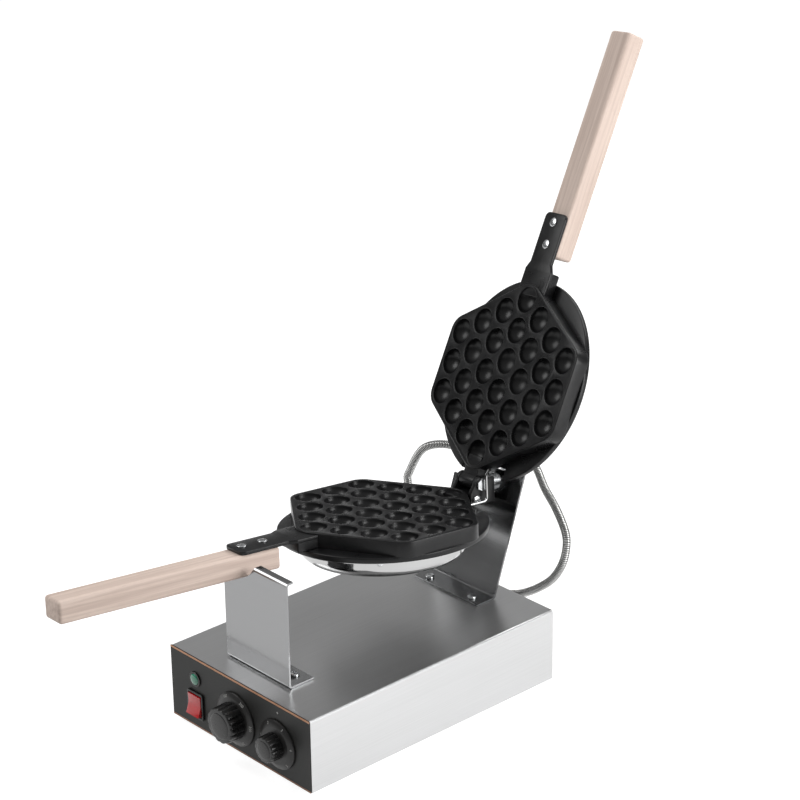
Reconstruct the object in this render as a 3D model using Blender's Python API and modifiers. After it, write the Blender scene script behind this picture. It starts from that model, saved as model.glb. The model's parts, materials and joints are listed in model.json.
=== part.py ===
"""Bubble waffle maker: two cast pans of round cells on a steel box, opened as in use.

Metres, +Z up, the control panel facing -Y. The pan set sits a few degrees off the box's
axis, as it lies loosely on its cradle. Three frames carry the pieces: the box, the pan set
(origin at the middle of the lower cooking face, its Y axis the swivel axis) and the lid
(origin on the hinge pin). In the pan frames U is across, V runs to the hinge and W is up
from the lower cooking face.
"""

import math

import bmesh
import bpy
from mathutils import Matrix, Vector

COLLECTION = "bubble_waffle_maker"

# Shared clearances
GAP = 0.0003            # between pieces that touch
OVERRUN = 0.002         # how far a cutter runs past what it cuts
LAP = 0.001             # how far joined shapes run into each other
MERGE = 0.00001         # welds a curve's caps
PIN_PLAY = 0.00015      # round a turning pin or shaft
TINY = 0.0000001

# The box
BOX_W = 0.2150
BOX_H = 0.0792
SHEET = 0.0012
SHEET_BEND = 0.0016
TRAY_SIDE = 0.0120
PANEL_FLANGE = 0.0340
FOOT_H = 0.0060
FOOT_R = 0.0110
FOOT_TOP_R = 0.0098
FOOT_INSET = 0.0220
FOOT_STEM_R = 0.0030
FOOT_BARB_R = 0.0040
FOOT_BARB_H = 0.0025
BOX_BASE = FOOT_H + GAP
BOX_TOP = BOX_BASE + BOX_H

# The middle of the whole object seen from above, measured from the box's middle
MIDDLE_X = -0.0188
MIDDLE_Y = 0.0335

# The pan set: where its cooking face lies and how it sits
PAN_X = -0.0097
PAN_Z = 0.2034
PAN_YAW = math.radians(-7.1)
PAN_TILT = math.radians(-3.3)
PAN_ROLL = math.radians(-7.2)
LID_ANGLE = math.radians(115.3)

# The cast pans
CELL_PITCH = 0.0333
CELL_R = 0.0138
CELL_DEPTH = 0.0108
CELL_SIDES = 10
CELL_SHARES = ((0.74, 0.74),)   # of the radius, of the depth
CELL_LAND = 0.0047
CELL_COUNTS = (6, 5, 4, 3)      # in the middle column and each one beside it
FACE_CLEAR = 0.0004     # half of the gap between the closed faces
HEX_H = 0.0170
CORNER_R = 0.0300
FACE_HALF = (len(CELL_COUNTS) - 1) * CELL_PITCH * math.cos(math.radians(30)) + CELL_R + CELL_LAND
RIM_LIP = 0.0030
RIM_R = FACE_HALF + RIM_LIP
COVER_FLANGE_W = 0.0190
COVER_FLANGE_R = RIM_R - RIM_LIP
COVER_R = COVER_FLANGE_R - COVER_FLANGE_W
RIM_TOP = 0.0160
RIM_T = 0.0060
RIM_STEPS = 26
SKIRT_T = 0.0040
SKIRT_H = 0.0100
NOTCH_HALF = 0.0340
NOTCH_DEPTH = 0.0180
NOTCH_V = RIM_R - NOTCH_DEPTH

# The cast arm and the wooden handle
NECK_W = 0.0420
NECK_LAP = 0.0200
NECK_L = 0.0280
NECK_START = RIM_R - NECK_LAP
NECK_END = NECK_START + NECK_L
NECK_BASE = 0.0165
ARM_TOP = 0.0022
ARM_T = 0.0040
SHOULDER_L = 0.0080
SHOULDER_END = NECK_END + SHOULDER_L
ARM_W = 0.0330
ARM_L = 0.0620
ARM_END = NECK_END + ARM_L
ARM_CORNER = 0.0060
HANDLE_W = 0.0300
HANDLE_H = 0.0230
HANDLE_OFF = 0.0090
HANDLE_L = 0.2450
HANDLE_START = SHOULDER_END + HANDLE_OFF
HANDLE_END = HANDLE_START + HANDLE_L
HANDLE_BEVEL = 0.0035
HANDLE_BOLT_R = 0.0025
HANDLE_BOLT_HEAD_R = 0.0048
HANDLE_BOLT_HEAD_T = 0.0014
HANDLE_BOLT_DEPTH = 0.0160
HANDLE_BOLT_INSET = 0.0110
HANDLE_BOLT_SPREAD = 0.0240
HANDLE_BOLT_NEAR = HANDLE_START + HANDLE_BOLT_INSET
HANDLE_BOLT_FAR = HANDLE_BOLT_NEAR + HANDLE_BOLT_SPREAD

# The hinge between the pans
HINGE_OFF = 0.0047
HINGE_V = RIM_R + HINGE_OFF
HINGE_W = 0.0062
STOP_GAP = 0.00035
PIN_R = 0.0040
KNUCKLE_R = 0.0078
KNUCKLE_HALF = 0.0115
KNUCKLE_NECK_HALF = 0.0110
KNUCKLE_UNDER = 0.0010
CHEEK_GAP = 0.0004
CHEEK_T = 0.0050
CHEEK_R = 0.0080
CHEEK_LAP = 0.0090
CHEEK_START = RIM_R - CHEEK_LAP
CHEEK_LIP = 0.0020
YOKE_BASE = 0.0150
YOKE_OFF = 0.0220
YOKE_END = RIM_R + YOKE_OFF
BRIDGE_T = 0.0060
TANG_HALF = 0.0117
TANG_LAP = 0.0220
TANG_L = 0.0330
TANG_START = RIM_R - TANG_LAP
TANG_END = TANG_START + TANG_L
TANG_TOP = 0.0032
TANG_BASE = 0.0150
YOKE_BOLT_R = 0.0028
YOKE_BOLT_HEAD_R = 0.0050
YOKE_BOLT_HEAD_T = 0.0022
YOKE_BOLT_W = 0.0092
YOKE_BOLT_INSET = 0.0015
YOKE_BOLT_V = RIM_R - YOKE_BOLT_INSET
PIN_HEAD_R = 0.0060
PIN_HEAD_T = 0.0028
PIN_NUT_R = 0.0066
PIN_NUT_T = 0.0030

# The swivel behind the hinge
AXLE_R = 0.0050
AXLE_HEAD_R = 0.0062
AXLE_HEAD_T = 0.0020
AXLE_OUT = 0.0110
BUSH_R = 0.0110
BUSH_OFF = 0.0030
BUSH_L = 0.0270
BUSH_START = YOKE_END + BUSH_OFF
BUSH_END = BUSH_START + BUSH_L
AXLE_END = BUSH_END + AXLE_OUT
WASHER_R = 0.0100
WASHER_T = 0.0015
AXLE_NUT_R = 0.0098
AXLE_NUT_T = 0.0060

# The bent rod beside the hinge
ROD_R = 0.0015
ROD_U = 0.0230
ROD_OFF = 0.0070
ROD_V = RIM_R + ROD_OFF
ROD_W = 0.0103
ROD_LAP = 0.0220
ROD_SEAT = RIM_R - ROD_LAP
ROD_TOP = 0.0196
ROD_TIP_U = 0.0295
ROD_TIP_W = 0.0245

# The cover under each pan
COVER_T = 0.0010
COVER_DEPTH = 0.0265
COVER_STEPS = 24
COVER_SHARES = ((1.0, 0.06), (1.0, 0.46), (0.93, 0.80), (0.78, 0.94), (0.0, 1.0))
COVER_SCREW_R = 0.0016
COVER_SCREW_HEAD_R = 0.0034
COVER_SCREW_HEAD_T = 0.0018
COVER_SCREW_DROP = 0.0060
COVER_SCREW_ANGLES = (-37, 143)

# The heating element in each pan
ELEMENT_R = 0.0550
ELEMENT_TUBE_R = 0.0040
ELEMENT_OPEN = 24
ELEMENT_POINTS = 17
ELEMENT_LEAD = 0.0140
CLAMP_L = 0.1320
CLAMP_W = 0.0140
CLAMP_T = 0.0020
BOSS_R = 0.0080
CLAMP_STUD_R = 0.0025
CLAMP_STUD_L = 0.0090

# The ribbed hoses and their end pieces
HOSE_R = 0.0046
HOSE_VALLEY_R = 0.0038
HOSE_BORE_R = 0.0028
HOSE_RIBS = 64
FERRULE_FLANGE_R = 0.0085
FERRULE_FLANGE_T = 0.0015
FERRULE_R = 0.0062
FERRULE_L = 0.0090
FERRULE_SHANK_R = 0.0048
FERRULE_SHANK_L = 0.0040
LOWER_OUTLET_ANGLE = 107
LOWER_OUTLET_DROP = 0.0112
UPPER_OUTLET_U = 0.0200
UPPER_OUTLET_V = 0.0580
UPPER_GLAND_X = -0.0075
LOWER_GLAND_X = -0.0500
GLAND_Z = 0.0510
# Where each hose lies between its straight ends, from the box's middle
UPPER_HOSE_ROUTE = (
    (-0.0090, 0.2400, 0.2030), (0.0030, 0.2440, 0.1880), (0.0272, 0.2330, 0.1752),
    (0.0557, 0.2207, 0.1657), (0.0785, 0.2107, 0.1523), (0.0884, 0.2037, 0.1410),
    (0.0881, 0.1990, 0.1220), (0.0749, 0.1985, 0.0993), (0.0527, 0.2000, 0.0793),
    (0.0235, 0.2040, 0.0600), (0.0030, 0.2010, 0.0525),
)
LOWER_HOSE_ROUTE = (
    (-0.0275, 0.1830, 0.1610), (-0.0350, 0.2010, 0.1700), (-0.0510, 0.2060, 0.1890),
    (-0.0801, 0.2010, 0.2000), (-0.1155, 0.1927, 0.1884),
    (-0.1376, 0.1907, 0.1538), (-0.1406, 0.1907, 0.1397), (-0.1338, 0.1927, 0.1021),
    (-0.1090, 0.1967, 0.0730), (-0.0819, 0.2030, 0.0560), (-0.0600, 0.2020, 0.0515),
)

# The cradle at the front and the bracket at the rear
STAND_W = 0.0960
STAND_SHEET = 0.0020
STAND_BEND = 0.0028
CRADLE_X = -0.0010
CRADLE_FROM_FRONT = 0.0267
CRADLE_OFF_RIM = 0.0671
CRADLE_H = 0.1148
CRADLE_FOOT = 0.0310
CRADLE_LIP = 0.0085
SADDLE_SIDES = 40
BRACKET_X = 0.0
BRACKET_UNDER_RIM = 0.0308
BRACKET_FROM_REAR = 0.0516
BRACKET_FOOT = 0.0255
BRACKET_H = 0.1375
BRACKET_LEAN = math.radians(19.0)
LID_CUT_HALF = 0.0395
LID_CUT_DEPTH = 0.0150
LID_CUT_STEPS = 10
BUSH_WALL = 0.0040      # of the plate's round shoulder, outside the bush
SHOULDER_STEPS = 6
LEDGE_DROP = 0.0080     # of the plate's left part, under the axle
STAND_SCREW_R = 0.0030
STAND_SCREW_HEAD_R = 0.0050
STAND_SCREW_HEAD_T = 0.0032
STAND_SCREW_L = 0.0080
STAND_SCREW_INSET = 0.0160
CRADLE_SCREW_BACK = 0.0110
BRACKET_SCREW_FRONT = 0.0080
GROMMET_X = -0.0258
GROMMET_UP = 0.0795
GROMMET_R = 0.0106
GROMMET_WAIST_R = 0.0088
GROMMET_BORE_R = 0.0066
GROMMET_LIP_T = 0.0018

# The control panel, from the box's left side and its bottom edge
PLATE_T = 0.0010
PLATE_CORNER = 0.0010
LAMP_UP = 0.0550
LAMP_R = 0.0060
LAMP_DOME = 0.0030
LAMP_BARREL_R = 0.0072
LAMP_FLANGE_R = 0.0082
LAMP_FLANGE_T = 0.0014
LAMP_L = 0.0200
SWITCH_UP = 0.0262
SWITCH_W = 0.0245
SWITCH_H = 0.0290
SWITCH_FLANGE_T = 0.0020
SWITCH_BODY_W = 0.0225
SWITCH_BODY_H = 0.0268
SWITCH_BODY_L = 0.0190
SWITCH_CORNER = 0.0015
ROCKER_W = 0.0195
ROCKER_HALF = 0.0110
ROCKER_TIP = 0.0048
ROCKER_DIP = 0.0028
ROCKER_PLAY = 0.0006
ROCKER_TILT = math.radians(8.0)
HEAT_UP = 0.0362
HEAT_DIAL_R = 0.0285
HEAT_GRIP_R = 0.0195
HEAT_GRIP_L = 0.0175
TIME_UP = 0.0348
TIME_DIAL_R = 0.0262
TIME_GRIP_R = 0.0140
TIME_GRIP_L = 0.0140
DIAL_T = 0.0042
DIAL_EDGE_T = 0.0018
DIAL_FLAT_SHARE = 0.76
GRIP_FLUTES = 14
GRIP_FLUTE = 0.0011
GRIP_EASE = 0.0012
KNOB_BORE_L = 0.0130
SPINDLE_R = 0.0030
SPINDLE_INTO_BODY = 0.0080
CONTROL_W = 0.0380
CONTROL_L = 0.0220
CONTROL_CORNER = 0.0030

# Inside and on the rear
TERMINAL_SIZE = (0.0420, 0.0180, 0.0150)
TERMINAL_AT = (0.0, 0.0400)
INLET_FROM_SIDE = 0.0395
INLET_Z = 0.0400
INLET_W = 0.0310
INLET_H = 0.0240
INLET_FLANGE_T = 0.0025
INLET_BODY_W = 0.0270
INLET_BODY_H = 0.0195
INLET_BODY_L = 0.0220
INLET_WALL = 0.0016
INLET_POCKET = 0.0160
INLET_CORNER = 0.0020
INLET_PIN = (0.0020, 0.0045, 0.0120)
INLET_PIN_SPREAD = 0.0070
INLET_PIN_RISE = 0.0020

PIN_SIDES = 16
SCREW_SIDES = 8
HOLE_SIDES = 10
END_SIDES = 12
FOOT_SIDES = 10
LAMP_SIDES = 16
GROMMET_SIDES = 14

# Along the box: from its front to the cradle, the pans and the bracket
PAN_FROM_FRONT = CRADLE_FROM_FRONT + CRADLE_OFF_RIM + RIM_R
BRACKET_FROM_FRONT = PAN_FROM_FRONT + RIM_R - BRACKET_UNDER_RIM
BOX_L = BRACKET_FROM_FRONT + BRACKET_FROM_REAR
BOX_FRONT = -BOX_L / 2
BOX_REAR = BOX_L / 2
BOX_LEFT = -BOX_W / 2
PAN_Y = BOX_FRONT + PAN_FROM_FRONT

# Across the panel: what the switch and the two dials leave free
FREE_W = BOX_W - SWITCH_W - 2 * HEAT_DIAL_R - 2 * TIME_DIAL_R
LEFT_SHARE = 0.3298
SWITCH_TO_HEAT_SHARE = 0.2867
HEAT_TO_TIME_SHARE = 0.1122


# Scene, materials and placing

for leftover in list(bpy.data.objects):
    bpy.data.objects.remove(leftover, do_unlink=True)

parts = bpy.data.collections.new(COLLECTION)
cutters = bpy.data.collections.new("cutters")
bpy.context.scene.collection.children.link(parts)
bpy.context.scene.collection.children.link(cutters)


def material(name, colour, roughness, metallic):
    mat = bpy.data.materials.new(name)
    mat.use_nodes = True
    shader = mat.node_tree.nodes["Principled BSDF"]
    shader.inputs["Base Color"].default_value = (*colour, 1)
    shader.inputs["Roughness"].default_value = roughness
    shader.inputs["Metallic"].default_value = metallic
    return mat


STAINLESS = material("stainless", (0.62, 0.63, 0.64), 0.30, 1)
POLISHED = material("polished_steel", (0.78, 0.78, 0.78), 0.10, 1)
ZINC = material("zinc_screw", (0.70, 0.71, 0.72), 0.25, 1)
CAST = material("black_cast", (0.020, 0.020, 0.021), 0.38, 0)
BLACK = material("black_plastic", (0.018, 0.018, 0.018), 0.35, 0)
FACE = material("panel_face", (0.050, 0.050, 0.052), 0.45, 0)
WOOD = material("pale_wood", (0.78, 0.60, 0.48), 0.60, 0)
RUBBER = material("rubber", (0.02, 0.02, 0.02), 0.80, 0)
RED = material("red_plastic", (0.75, 0.02, 0.03), 0.25, 0)
GREEN = material("green_lens", (0.02, 0.32, 0.20), 0.20, 0)
SHEATH = material("element_sheath", (0.30, 0.29, 0.28), 0.45, 1)
MOULDED = material("moulded_block", (0.75, 0.73, 0.66), 0.50, 0)


def empty(name, matrix, parent=None):
    """A frame that carries pieces, with its origin on a joint's axis."""
    frame = bpy.data.objects.new(name, None)
    parts.objects.link(frame)
    frame.parent = parent
    frame.matrix_local = matrix
    return frame


def mesh_of(obj):
    """Turn a curve, or an object with modifiers, into a mesh with welded caps."""
    bpy.context.view_layer.update()
    depsgraph = bpy.context.evaluated_depsgraph_get()
    mesh = bpy.data.meshes.new_from_object(obj.evaluated_get(depsgraph))
    mesh.transform(obj.matrix_world)
    bm = bmesh.new()
    bm.from_mesh(mesh)
    bmesh.ops.remove_doubles(bm, verts=bm.verts, dist=MERGE)
    bmesh.ops.recalc_face_normals(bm, faces=bm.faces)
    bm.to_mesh(mesh)
    bm.free()
    bpy.data.objects.remove(obj, do_unlink=True)
    return mesh


def place(mesh, name, mat, frame, matrix=None, smooth=False):
    """Put a mesh in the object's collection, in a frame's own directions."""
    mesh.name = name
    mesh.materials.clear()
    mesh.materials.append(mat)
    if smooth:
        mesh.shade_smooth()
        mesh.set_sharp_from_angle(angle=math.radians(35))
    obj = bpy.data.objects.new(name, mesh)
    parts.objects.link(obj)
    obj.parent = frame
    obj.matrix_local = matrix or Matrix()
    return obj


def shaped(mesh, add=(), cut=()):
    """A mesh with others joined to it and cut from it; each comes with its matrix."""
    obj = bpy.data.objects.new("shaped", mesh)
    cutters.objects.link(obj)
    tools = []
    for operation, pieces in (("UNION", add), ("DIFFERENCE", cut)):
        for tool_mesh, matrix in pieces:
            tool = bpy.data.objects.new("cutter", tool_mesh)
            cutters.objects.link(tool)
            tool.matrix_world = matrix
            tool.hide_render = True
            tool.display_type = "WIRE"
            tools.append(tool)
            mod = obj.modifiers.new("shape", "BOOLEAN")
            mod.operation = operation
            mod.solver = "EXACT"
            mod.object = tool
    result = mesh_of(obj)
    for tool in tools:
        bpy.data.objects.remove(tool, do_unlink=True)
    return result


# Outlines

def arc(centre, radius, start, end, steps):
    """Points along an arc, in degrees, both ends included."""
    points = []
    for i in range(steps + 1):
        angle = math.radians(start + (end - start) * i / steps)
        points.append((centre[0] + radius * math.cos(angle), centre[1] + radius * math.sin(angle)))
    return points


def circle(radius, steps, centre=(0, 0)):
    return arc(centre, radius, 0, 360, steps)[:-1]


def rounded(points, radii, steps=3):
    """A closed outline with each corner rounded by its own radius."""
    out = []
    for i, point in enumerate(points):
        radius = radii[i] if isinstance(radii, (list, tuple)) else radii
        here = Vector(point)
        to_last = (Vector(points[i - 1]) - here).normalized()
        to_next = (Vector(points[(i + 1) % len(points)]) - here).normalized()
        half = to_last.angle(to_next) / 2
        if radius == 0:
            out.append(tuple(here))
            continue
        centre = here + (to_last + to_next).normalized() * (radius / math.sin(half))
        first = here + to_last * (radius / math.tan(half)) - centre
        last = here + to_next * (radius / math.tan(half)) - centre
        sweep = first.angle_signed(last)
        for k in range(steps + 1):
            out.append(tuple(centre + Matrix.Rotation(-sweep * k / steps, 2) @ first))
    return out


def rectangle(width, height, corner=0, steps=3):
    x, y = width / 2, height / 2
    return rounded([(-x, -y), (x, -y), (x, y), (-x, y)], corner, steps)


def bent_sheet(path, thickness, bend, steps=3):
    """The closed outline of a bent sheet whose middle follows a path."""
    middle = [Vector(path[0])]
    for last, here, after in zip(path, path[1:], path[2:]):
        here = Vector(here)
        to_last = (Vector(last) - here).normalized()
        to_next = (Vector(after) - here).normalized()
        half = to_last.angle(to_next) / 2
        centre = here + (to_last + to_next).normalized() * (bend / math.sin(half))
        first = here + to_last * (bend / math.tan(half)) - centre
        sweep = first.angle_signed(here + to_next * (bend / math.tan(half)) - centre)
        middle += [centre + Matrix.Rotation(-sweep * k / steps, 2) @ first for k in range(steps + 1)]
    middle.append(Vector(path[-1]))
    left, right = [], []
    for i, here in enumerate(middle):
        before = (here - middle[max(i - 1, 0)]).normalized()
        after = (middle[min(i + 1, len(middle) - 1)] - here).normalized()
        along = (before + after).normalized()
        across = Vector((-along.y, along.x))
        spread = thickness / 2 / max(along.dot(after), along.dot(before))
        left.append(tuple(here + across * spread))
        right.append(tuple(here - across * spread))
    return left + right[::-1]


# Solids

def prism(outline, thickness, holes=()):
    """A flat outline, with holes, as a plate centred on its own plane."""
    curve = bpy.data.curves.new("outline", "CURVE")
    curve.dimensions = "2D"
    curve.fill_mode = "BOTH"
    curve.extrude = thickness / 2
    for loop in (outline, *holes):
        spline = curve.splines.new("POLY")
        spline.points.add(len(loop) - 1)
        for point, (x, y) in zip(spline.points, loop):
            point.co = (x, y, 0, 1)
        spline.use_cyclic_u = True
    obj = bpy.data.objects.new("outline", curve)
    cutters.objects.link(obj)
    return mesh_of(obj)


def turned(profile, steps, wall=0):
    """A profile of (radius, height) points, from the top down its outer side, turned about Z.

    A wall turns it into a shell; without one, a profile off the axis is closed on itself."""
    mesh = bpy.data.meshes.new("profile")
    edges = [(i, i + 1) for i in range(len(profile) - 1)]
    if not wall and (profile[0][0] > 0 or profile[-1][0] > 0):
        edges.append((len(profile) - 1, 0))
    mesh.from_pydata([(radius, 0, height) for radius, height in profile], edges, [])
    obj = bpy.data.objects.new("profile", mesh)
    cutters.objects.link(obj)
    screw = obj.modifiers.new("turn", "SCREW")
    screw.steps = screw.render_steps = steps
    screw.use_merge_vertices = True
    screw.merge_threshold = MERGE
    if wall:
        shell = obj.modifiers.new("wall", "SOLIDIFY")
        shell.thickness = wall
        shell.offset = 0
        shell.use_even_offset = True
    return mesh_of(obj)


def tube(points, radius, resolution=2, radii=None):
    """A round wire or tube through points."""
    curve = bpy.data.curves.new("tube", "CURVE")
    curve.dimensions = "3D"
    curve.bevel_depth = radius
    curve.bevel_resolution = resolution
    curve.use_fill_caps = True
    spline = curve.splines.new("POLY")
    spline.points.add(len(points) - 1)
    for i, point in enumerate(points):
        spline.points[i].co = (*point, 1)
        spline.points[i].radius = radii[i] if radii else 1
    obj = bpy.data.objects.new("tube", curve)
    cutters.objects.link(obj)
    return mesh_of(obj)


def block(size, bevel=0, segments=1):
    """A box about the origin, its edges eased."""
    bm = bmesh.new()
    bmesh.ops.create_cube(bm, size=1)
    bmesh.ops.scale(bm, vec=size, verts=bm.verts)
    if bevel:
        bmesh.ops.bevel(bm, geom=bm.edges[:], offset=bevel, segments=segments, profile=0.5,
                        affect="EDGES")
    mesh = bpy.data.meshes.new("block")
    bm.to_mesh(mesh)
    bm.free()
    return mesh


def cylinder(radius, length, sides):
    """A cylinder about Z with its middle at the origin."""
    bm = bmesh.new()
    bmesh.ops.create_cone(bm, cap_ends=True, segments=sides, radius1=radius, radius2=radius,
                          depth=length)
    mesh = bpy.data.meshes.new("cylinder")
    bm.to_mesh(mesh)
    bm.free()
    return mesh


def headed(radius, length, head_r, head_t, sides=SCREW_SIDES):
    """A screw along -Z, with its head standing on Z = 0."""
    ease = head_t / 4
    return turned([(0, head_t), (head_r - ease, head_t), (head_r, head_t - ease), (head_r, 0),
                   (radius, 0), (radius, -length), (0, -length)], sides)


def ring(outer, inner, low, high, steps):
    """A turned ring between two heights."""
    return turned([(inner, high), (outer, high), (outer, low), (inner, low)], steps)


def group(pieces):
    """Several meshes, each with its own matrix, in one mesh of separate bodies."""
    bm = bmesh.new()
    for mesh, matrix in pieces:
        known = len(bm.verts)
        bm.from_mesh(mesh)
        bm.verts.ensure_lookup_table()
        bmesh.ops.transform(bm, matrix=matrix, verts=bm.verts[known:])
    mesh = bpy.data.meshes.new("group")
    bm.to_mesh(mesh)
    bm.free()
    return mesh


def at(x, y, z):
    return Matrix.Translation((x, y, z))


def copies(mesh, places, turn=None):
    return group([(mesh, at(*place) @ (turn or Matrix())) for place in places])


TURN_X = Matrix.Rotation(math.radians(90), 4, "Y")     # +Z becomes +X
TURN_Y = Matrix.Rotation(math.radians(-90), 4, "X")    # +Z becomes +Y
FACING_FRONT = Matrix.Rotation(math.radians(90), 4, "X")     # +Z becomes -Y, +Y becomes +Z
# An outline drawn in (Y, Z), thick along X
SIDE_VIEW = Matrix(((0, 0, 1, 0), (1, 0, 0, 0), (0, 1, 0, 0), (0, 0, 0, 1)))

# Frames

box_frame = empty("box_frame", at(-MIDDLE_X, -MIDDLE_Y, 0))
SET_MATRIX = (
    at(PAN_X, PAN_Y, PAN_Z)
    @ Matrix.Rotation(PAN_YAW, 4, "Z")
    @ Matrix.Rotation(PAN_TILT, 4, "X")
    @ Matrix.Rotation(PAN_ROLL, 4, "Y")
)
LID_MATRIX = at(0, HINGE_V, HINGE_W) @ Matrix.Rotation(-LID_ANGLE, 4, "X")
set_frame = empty("pan_set_frame", SET_MATRIX, box_frame)
lid_frame = empty("lid_frame", LID_MATRIX, set_frame)
# Carries a piece drawn for the lower pan over to the closed lid
TO_LID = at(0, -HINGE_V, -HINGE_W) @ Matrix.Rotation(math.pi, 4, "Y")

# The case

SHELL_FRONT = BOX_FRONT + PLATE_T + GAP
SHELL_L = BOX_REAR - SHELL_FRONT
SHELL_Y = (BOX_REAR + SHELL_FRONT) / 2
side_x = BOX_W / 2 - SHEET / 2
stand_left = CRADLE_X - STAND_W / 2 + STAND_SCREW_INSET
stand_right = CRADLE_X + STAND_W / 2 - STAND_SCREW_INSET
CRADLE_FRONT = BOX_FRONT + CRADLE_FROM_FRONT
cradle_screw_y = CRADLE_FRONT + CRADLE_FOOT - CRADLE_SCREW_BACK
BRACKET_FRONT = BOX_FRONT + BRACKET_FROM_FRONT
bracket_screw_y = BRACKET_FRONT + BRACKET_SCREW_FRONT
bracket_left = BRACKET_X - STAND_W / 2 + STAND_SCREW_INSET
bracket_right = BRACKET_X + STAND_W / 2 - STAND_SCREW_INSET
CRADLE_SCREWS = ((stand_left, cradle_screw_y), (stand_right, cradle_screw_y))
BRACKET_SCREWS = ((bracket_left, bracket_screw_y), (bracket_right, bracket_screw_y))

stand_hole = cylinder(STAND_SCREW_R + GAP, STAND_SHEET + SHEET + 2 * OVERRUN, HOLE_SIDES)
stand_holes = [
    (stand_hole, at(x, y, BOX_TOP + (STAND_SHEET - SHEET) / 2))
    for x, y in CRADLE_SCREWS + BRACKET_SCREWS
]
shell_path = [
    (-side_x, BOX_BASE), (-side_x, BOX_TOP - SHEET / 2), (side_x, BOX_TOP - SHEET / 2),
    (side_x, BOX_BASE),
]
place(
    shaped(prism(bent_sheet(shell_path, SHEET, SHEET_BEND), SHELL_L), cut=[
        (mesh, FACING_FRONT.inverted() @ at(0, -SHELL_Y, 0) @ matrix) for mesh, matrix in stand_holes
    ]),
    "case_shell", STAINLESS, box_frame, at(0, SHELL_Y, 0) @ FACING_FRONT,
)

tray_x = BOX_W / 2 - SHEET - GAP - SHEET / 2
TRAY_Z = BOX_BASE + SHEET + GAP
TRAY_L = SHELL_L - 2 * (SHEET / 2 + SHEET_BEND + GAP)
tray_path = [
    (-tray_x, TRAY_Z + TRAY_SIDE), (-tray_x, TRAY_Z + SHEET / 2),
    (tray_x, TRAY_Z + SHEET / 2), (tray_x, TRAY_Z + TRAY_SIDE),
]
foot_x = BOX_W / 2 - FOOT_INSET
foot_y = BOX_L / 2 - FOOT_INSET
FEET = {
    "foot_front_left": (-foot_x, -foot_y), "foot_front_right": (foot_x, -foot_y),
    "foot_rear_left": (-foot_x, foot_y), "foot_rear_right": (foot_x, foot_y),
}
foot_hole = cylinder(FOOT_STEM_R + GAP, 2 * (2 * SHEET + GAP + OVERRUN), HOLE_SIDES)
foot_holes = [(foot_hole, at(x, y, BOX_BASE)) for x, y in FEET.values()]
place(
    shaped(prism(bent_sheet(tray_path, SHEET, SHEET_BEND), TRAY_L), cut=[
        (mesh, FACING_FRONT.inverted() @ at(0, -SHELL_Y, 0) @ matrix) for mesh, matrix in foot_holes
    ]),
    "bottom_plate", STAINLESS, box_frame, at(0, SHELL_Y, 0) @ FACING_FRONT,
)
barb_low = BOX_BASE + 2 * SHEET + 2 * GAP
foot_mesh = turned([
    (0, barb_low + FOOT_BARB_H), (FOOT_STEM_R, barb_low + FOOT_BARB_H), (FOOT_BARB_R, barb_low),
    (FOOT_STEM_R, barb_low), (FOOT_STEM_R, FOOT_H), (FOOT_TOP_R, FOOT_H), (FOOT_R, 0), (0, 0),
], FOOT_SIDES)
for name, (x, y) in FEET.items():
    place(foot_mesh.copy(), name, RUBBER, box_frame, at(x, y, 0), smooth=True)

# The front and rear panels: their flanges turn inwards and carry the bottom plate

PANEL_EASE = 1.5 * GAP
PANEL_TOP = BOX_TOP - SHEET - PANEL_EASE
PANEL_W = BOX_W - 2 * SHEET - 2 * PANEL_EASE
front_y = SHELL_FRONT + SHEET / 2
rear_y = BOX_REAR - SHEET / 2
SWITCH_X = BOX_LEFT + FREE_W * LEFT_SHARE + SWITCH_W / 2
HEAT_X = SWITCH_X + SWITCH_W / 2 + FREE_W * SWITCH_TO_HEAT_SHARE + HEAT_DIAL_R
TIME_X = HEAT_X + HEAT_DIAL_R + FREE_W * HEAT_TO_TIME_SHARE + TIME_DIAL_R
LAMP_X = SWITCH_X
SWITCH_Z = BOX_BASE + SWITCH_UP
HEAT_Z = BOX_BASE + HEAT_UP
TIME_Z = BOX_BASE + TIME_UP
LAMP_Z = BOX_BASE + LAMP_UP
INLET_X = BOX_W / 2 - INLET_FROM_SIDE
panel_depth = 2 * (PLATE_T + SHEET + OVERRUN)
hole_through = Matrix.Rotation(math.radians(90), 4, "X")
front_holes = [
    (cylinder(SPINDLE_R + 2 * GAP, panel_depth, HOLE_SIDES), at(HEAT_X, front_y, HEAT_Z) @ hole_through),
    (cylinder(SPINDLE_R + 2 * GAP, panel_depth, HOLE_SIDES), at(TIME_X, front_y, TIME_Z) @ hole_through),
    (cylinder(LAMP_BARREL_R + GAP, panel_depth, LAMP_SIDES), at(LAMP_X, front_y, LAMP_Z) @ hole_through),
    (
        block((SWITCH_BODY_W + 2 * GAP, panel_depth, SWITCH_BODY_H + 2 * GAP)),
        at(SWITCH_X, front_y, SWITCH_Z),
    ),
]
plate_mesh = prism(rectangle(BOX_W, BOX_H, PLATE_CORNER), PLATE_T)
plate_matrix = at(0, BOX_FRONT + PLATE_T / 2, BOX_BASE + BOX_H / 2) @ FACING_FRONT
place(
    shaped(plate_mesh, cut=[(mesh, plate_matrix.inverted() @ matrix) for mesh, matrix in front_holes]),
    "faceplate", FACE, box_frame, plate_matrix,
)


def standing_panel(y, inwards, holes):
    """A panel with its flange: bent sheet drawn in (Y, Z), then cut by its holes."""
    path = [
        (y, PANEL_TOP), (y, BOX_BASE + SHEET / 2), (y + inwards * PANEL_FLANGE, BOX_BASE + SHEET / 2),
    ]
    mesh = prism(bent_sheet(path, SHEET, SHEET_BEND), PANEL_W)
    return shaped(mesh, cut=[(tool, SIDE_VIEW.inverted() @ matrix) for tool, matrix in holes])


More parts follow.
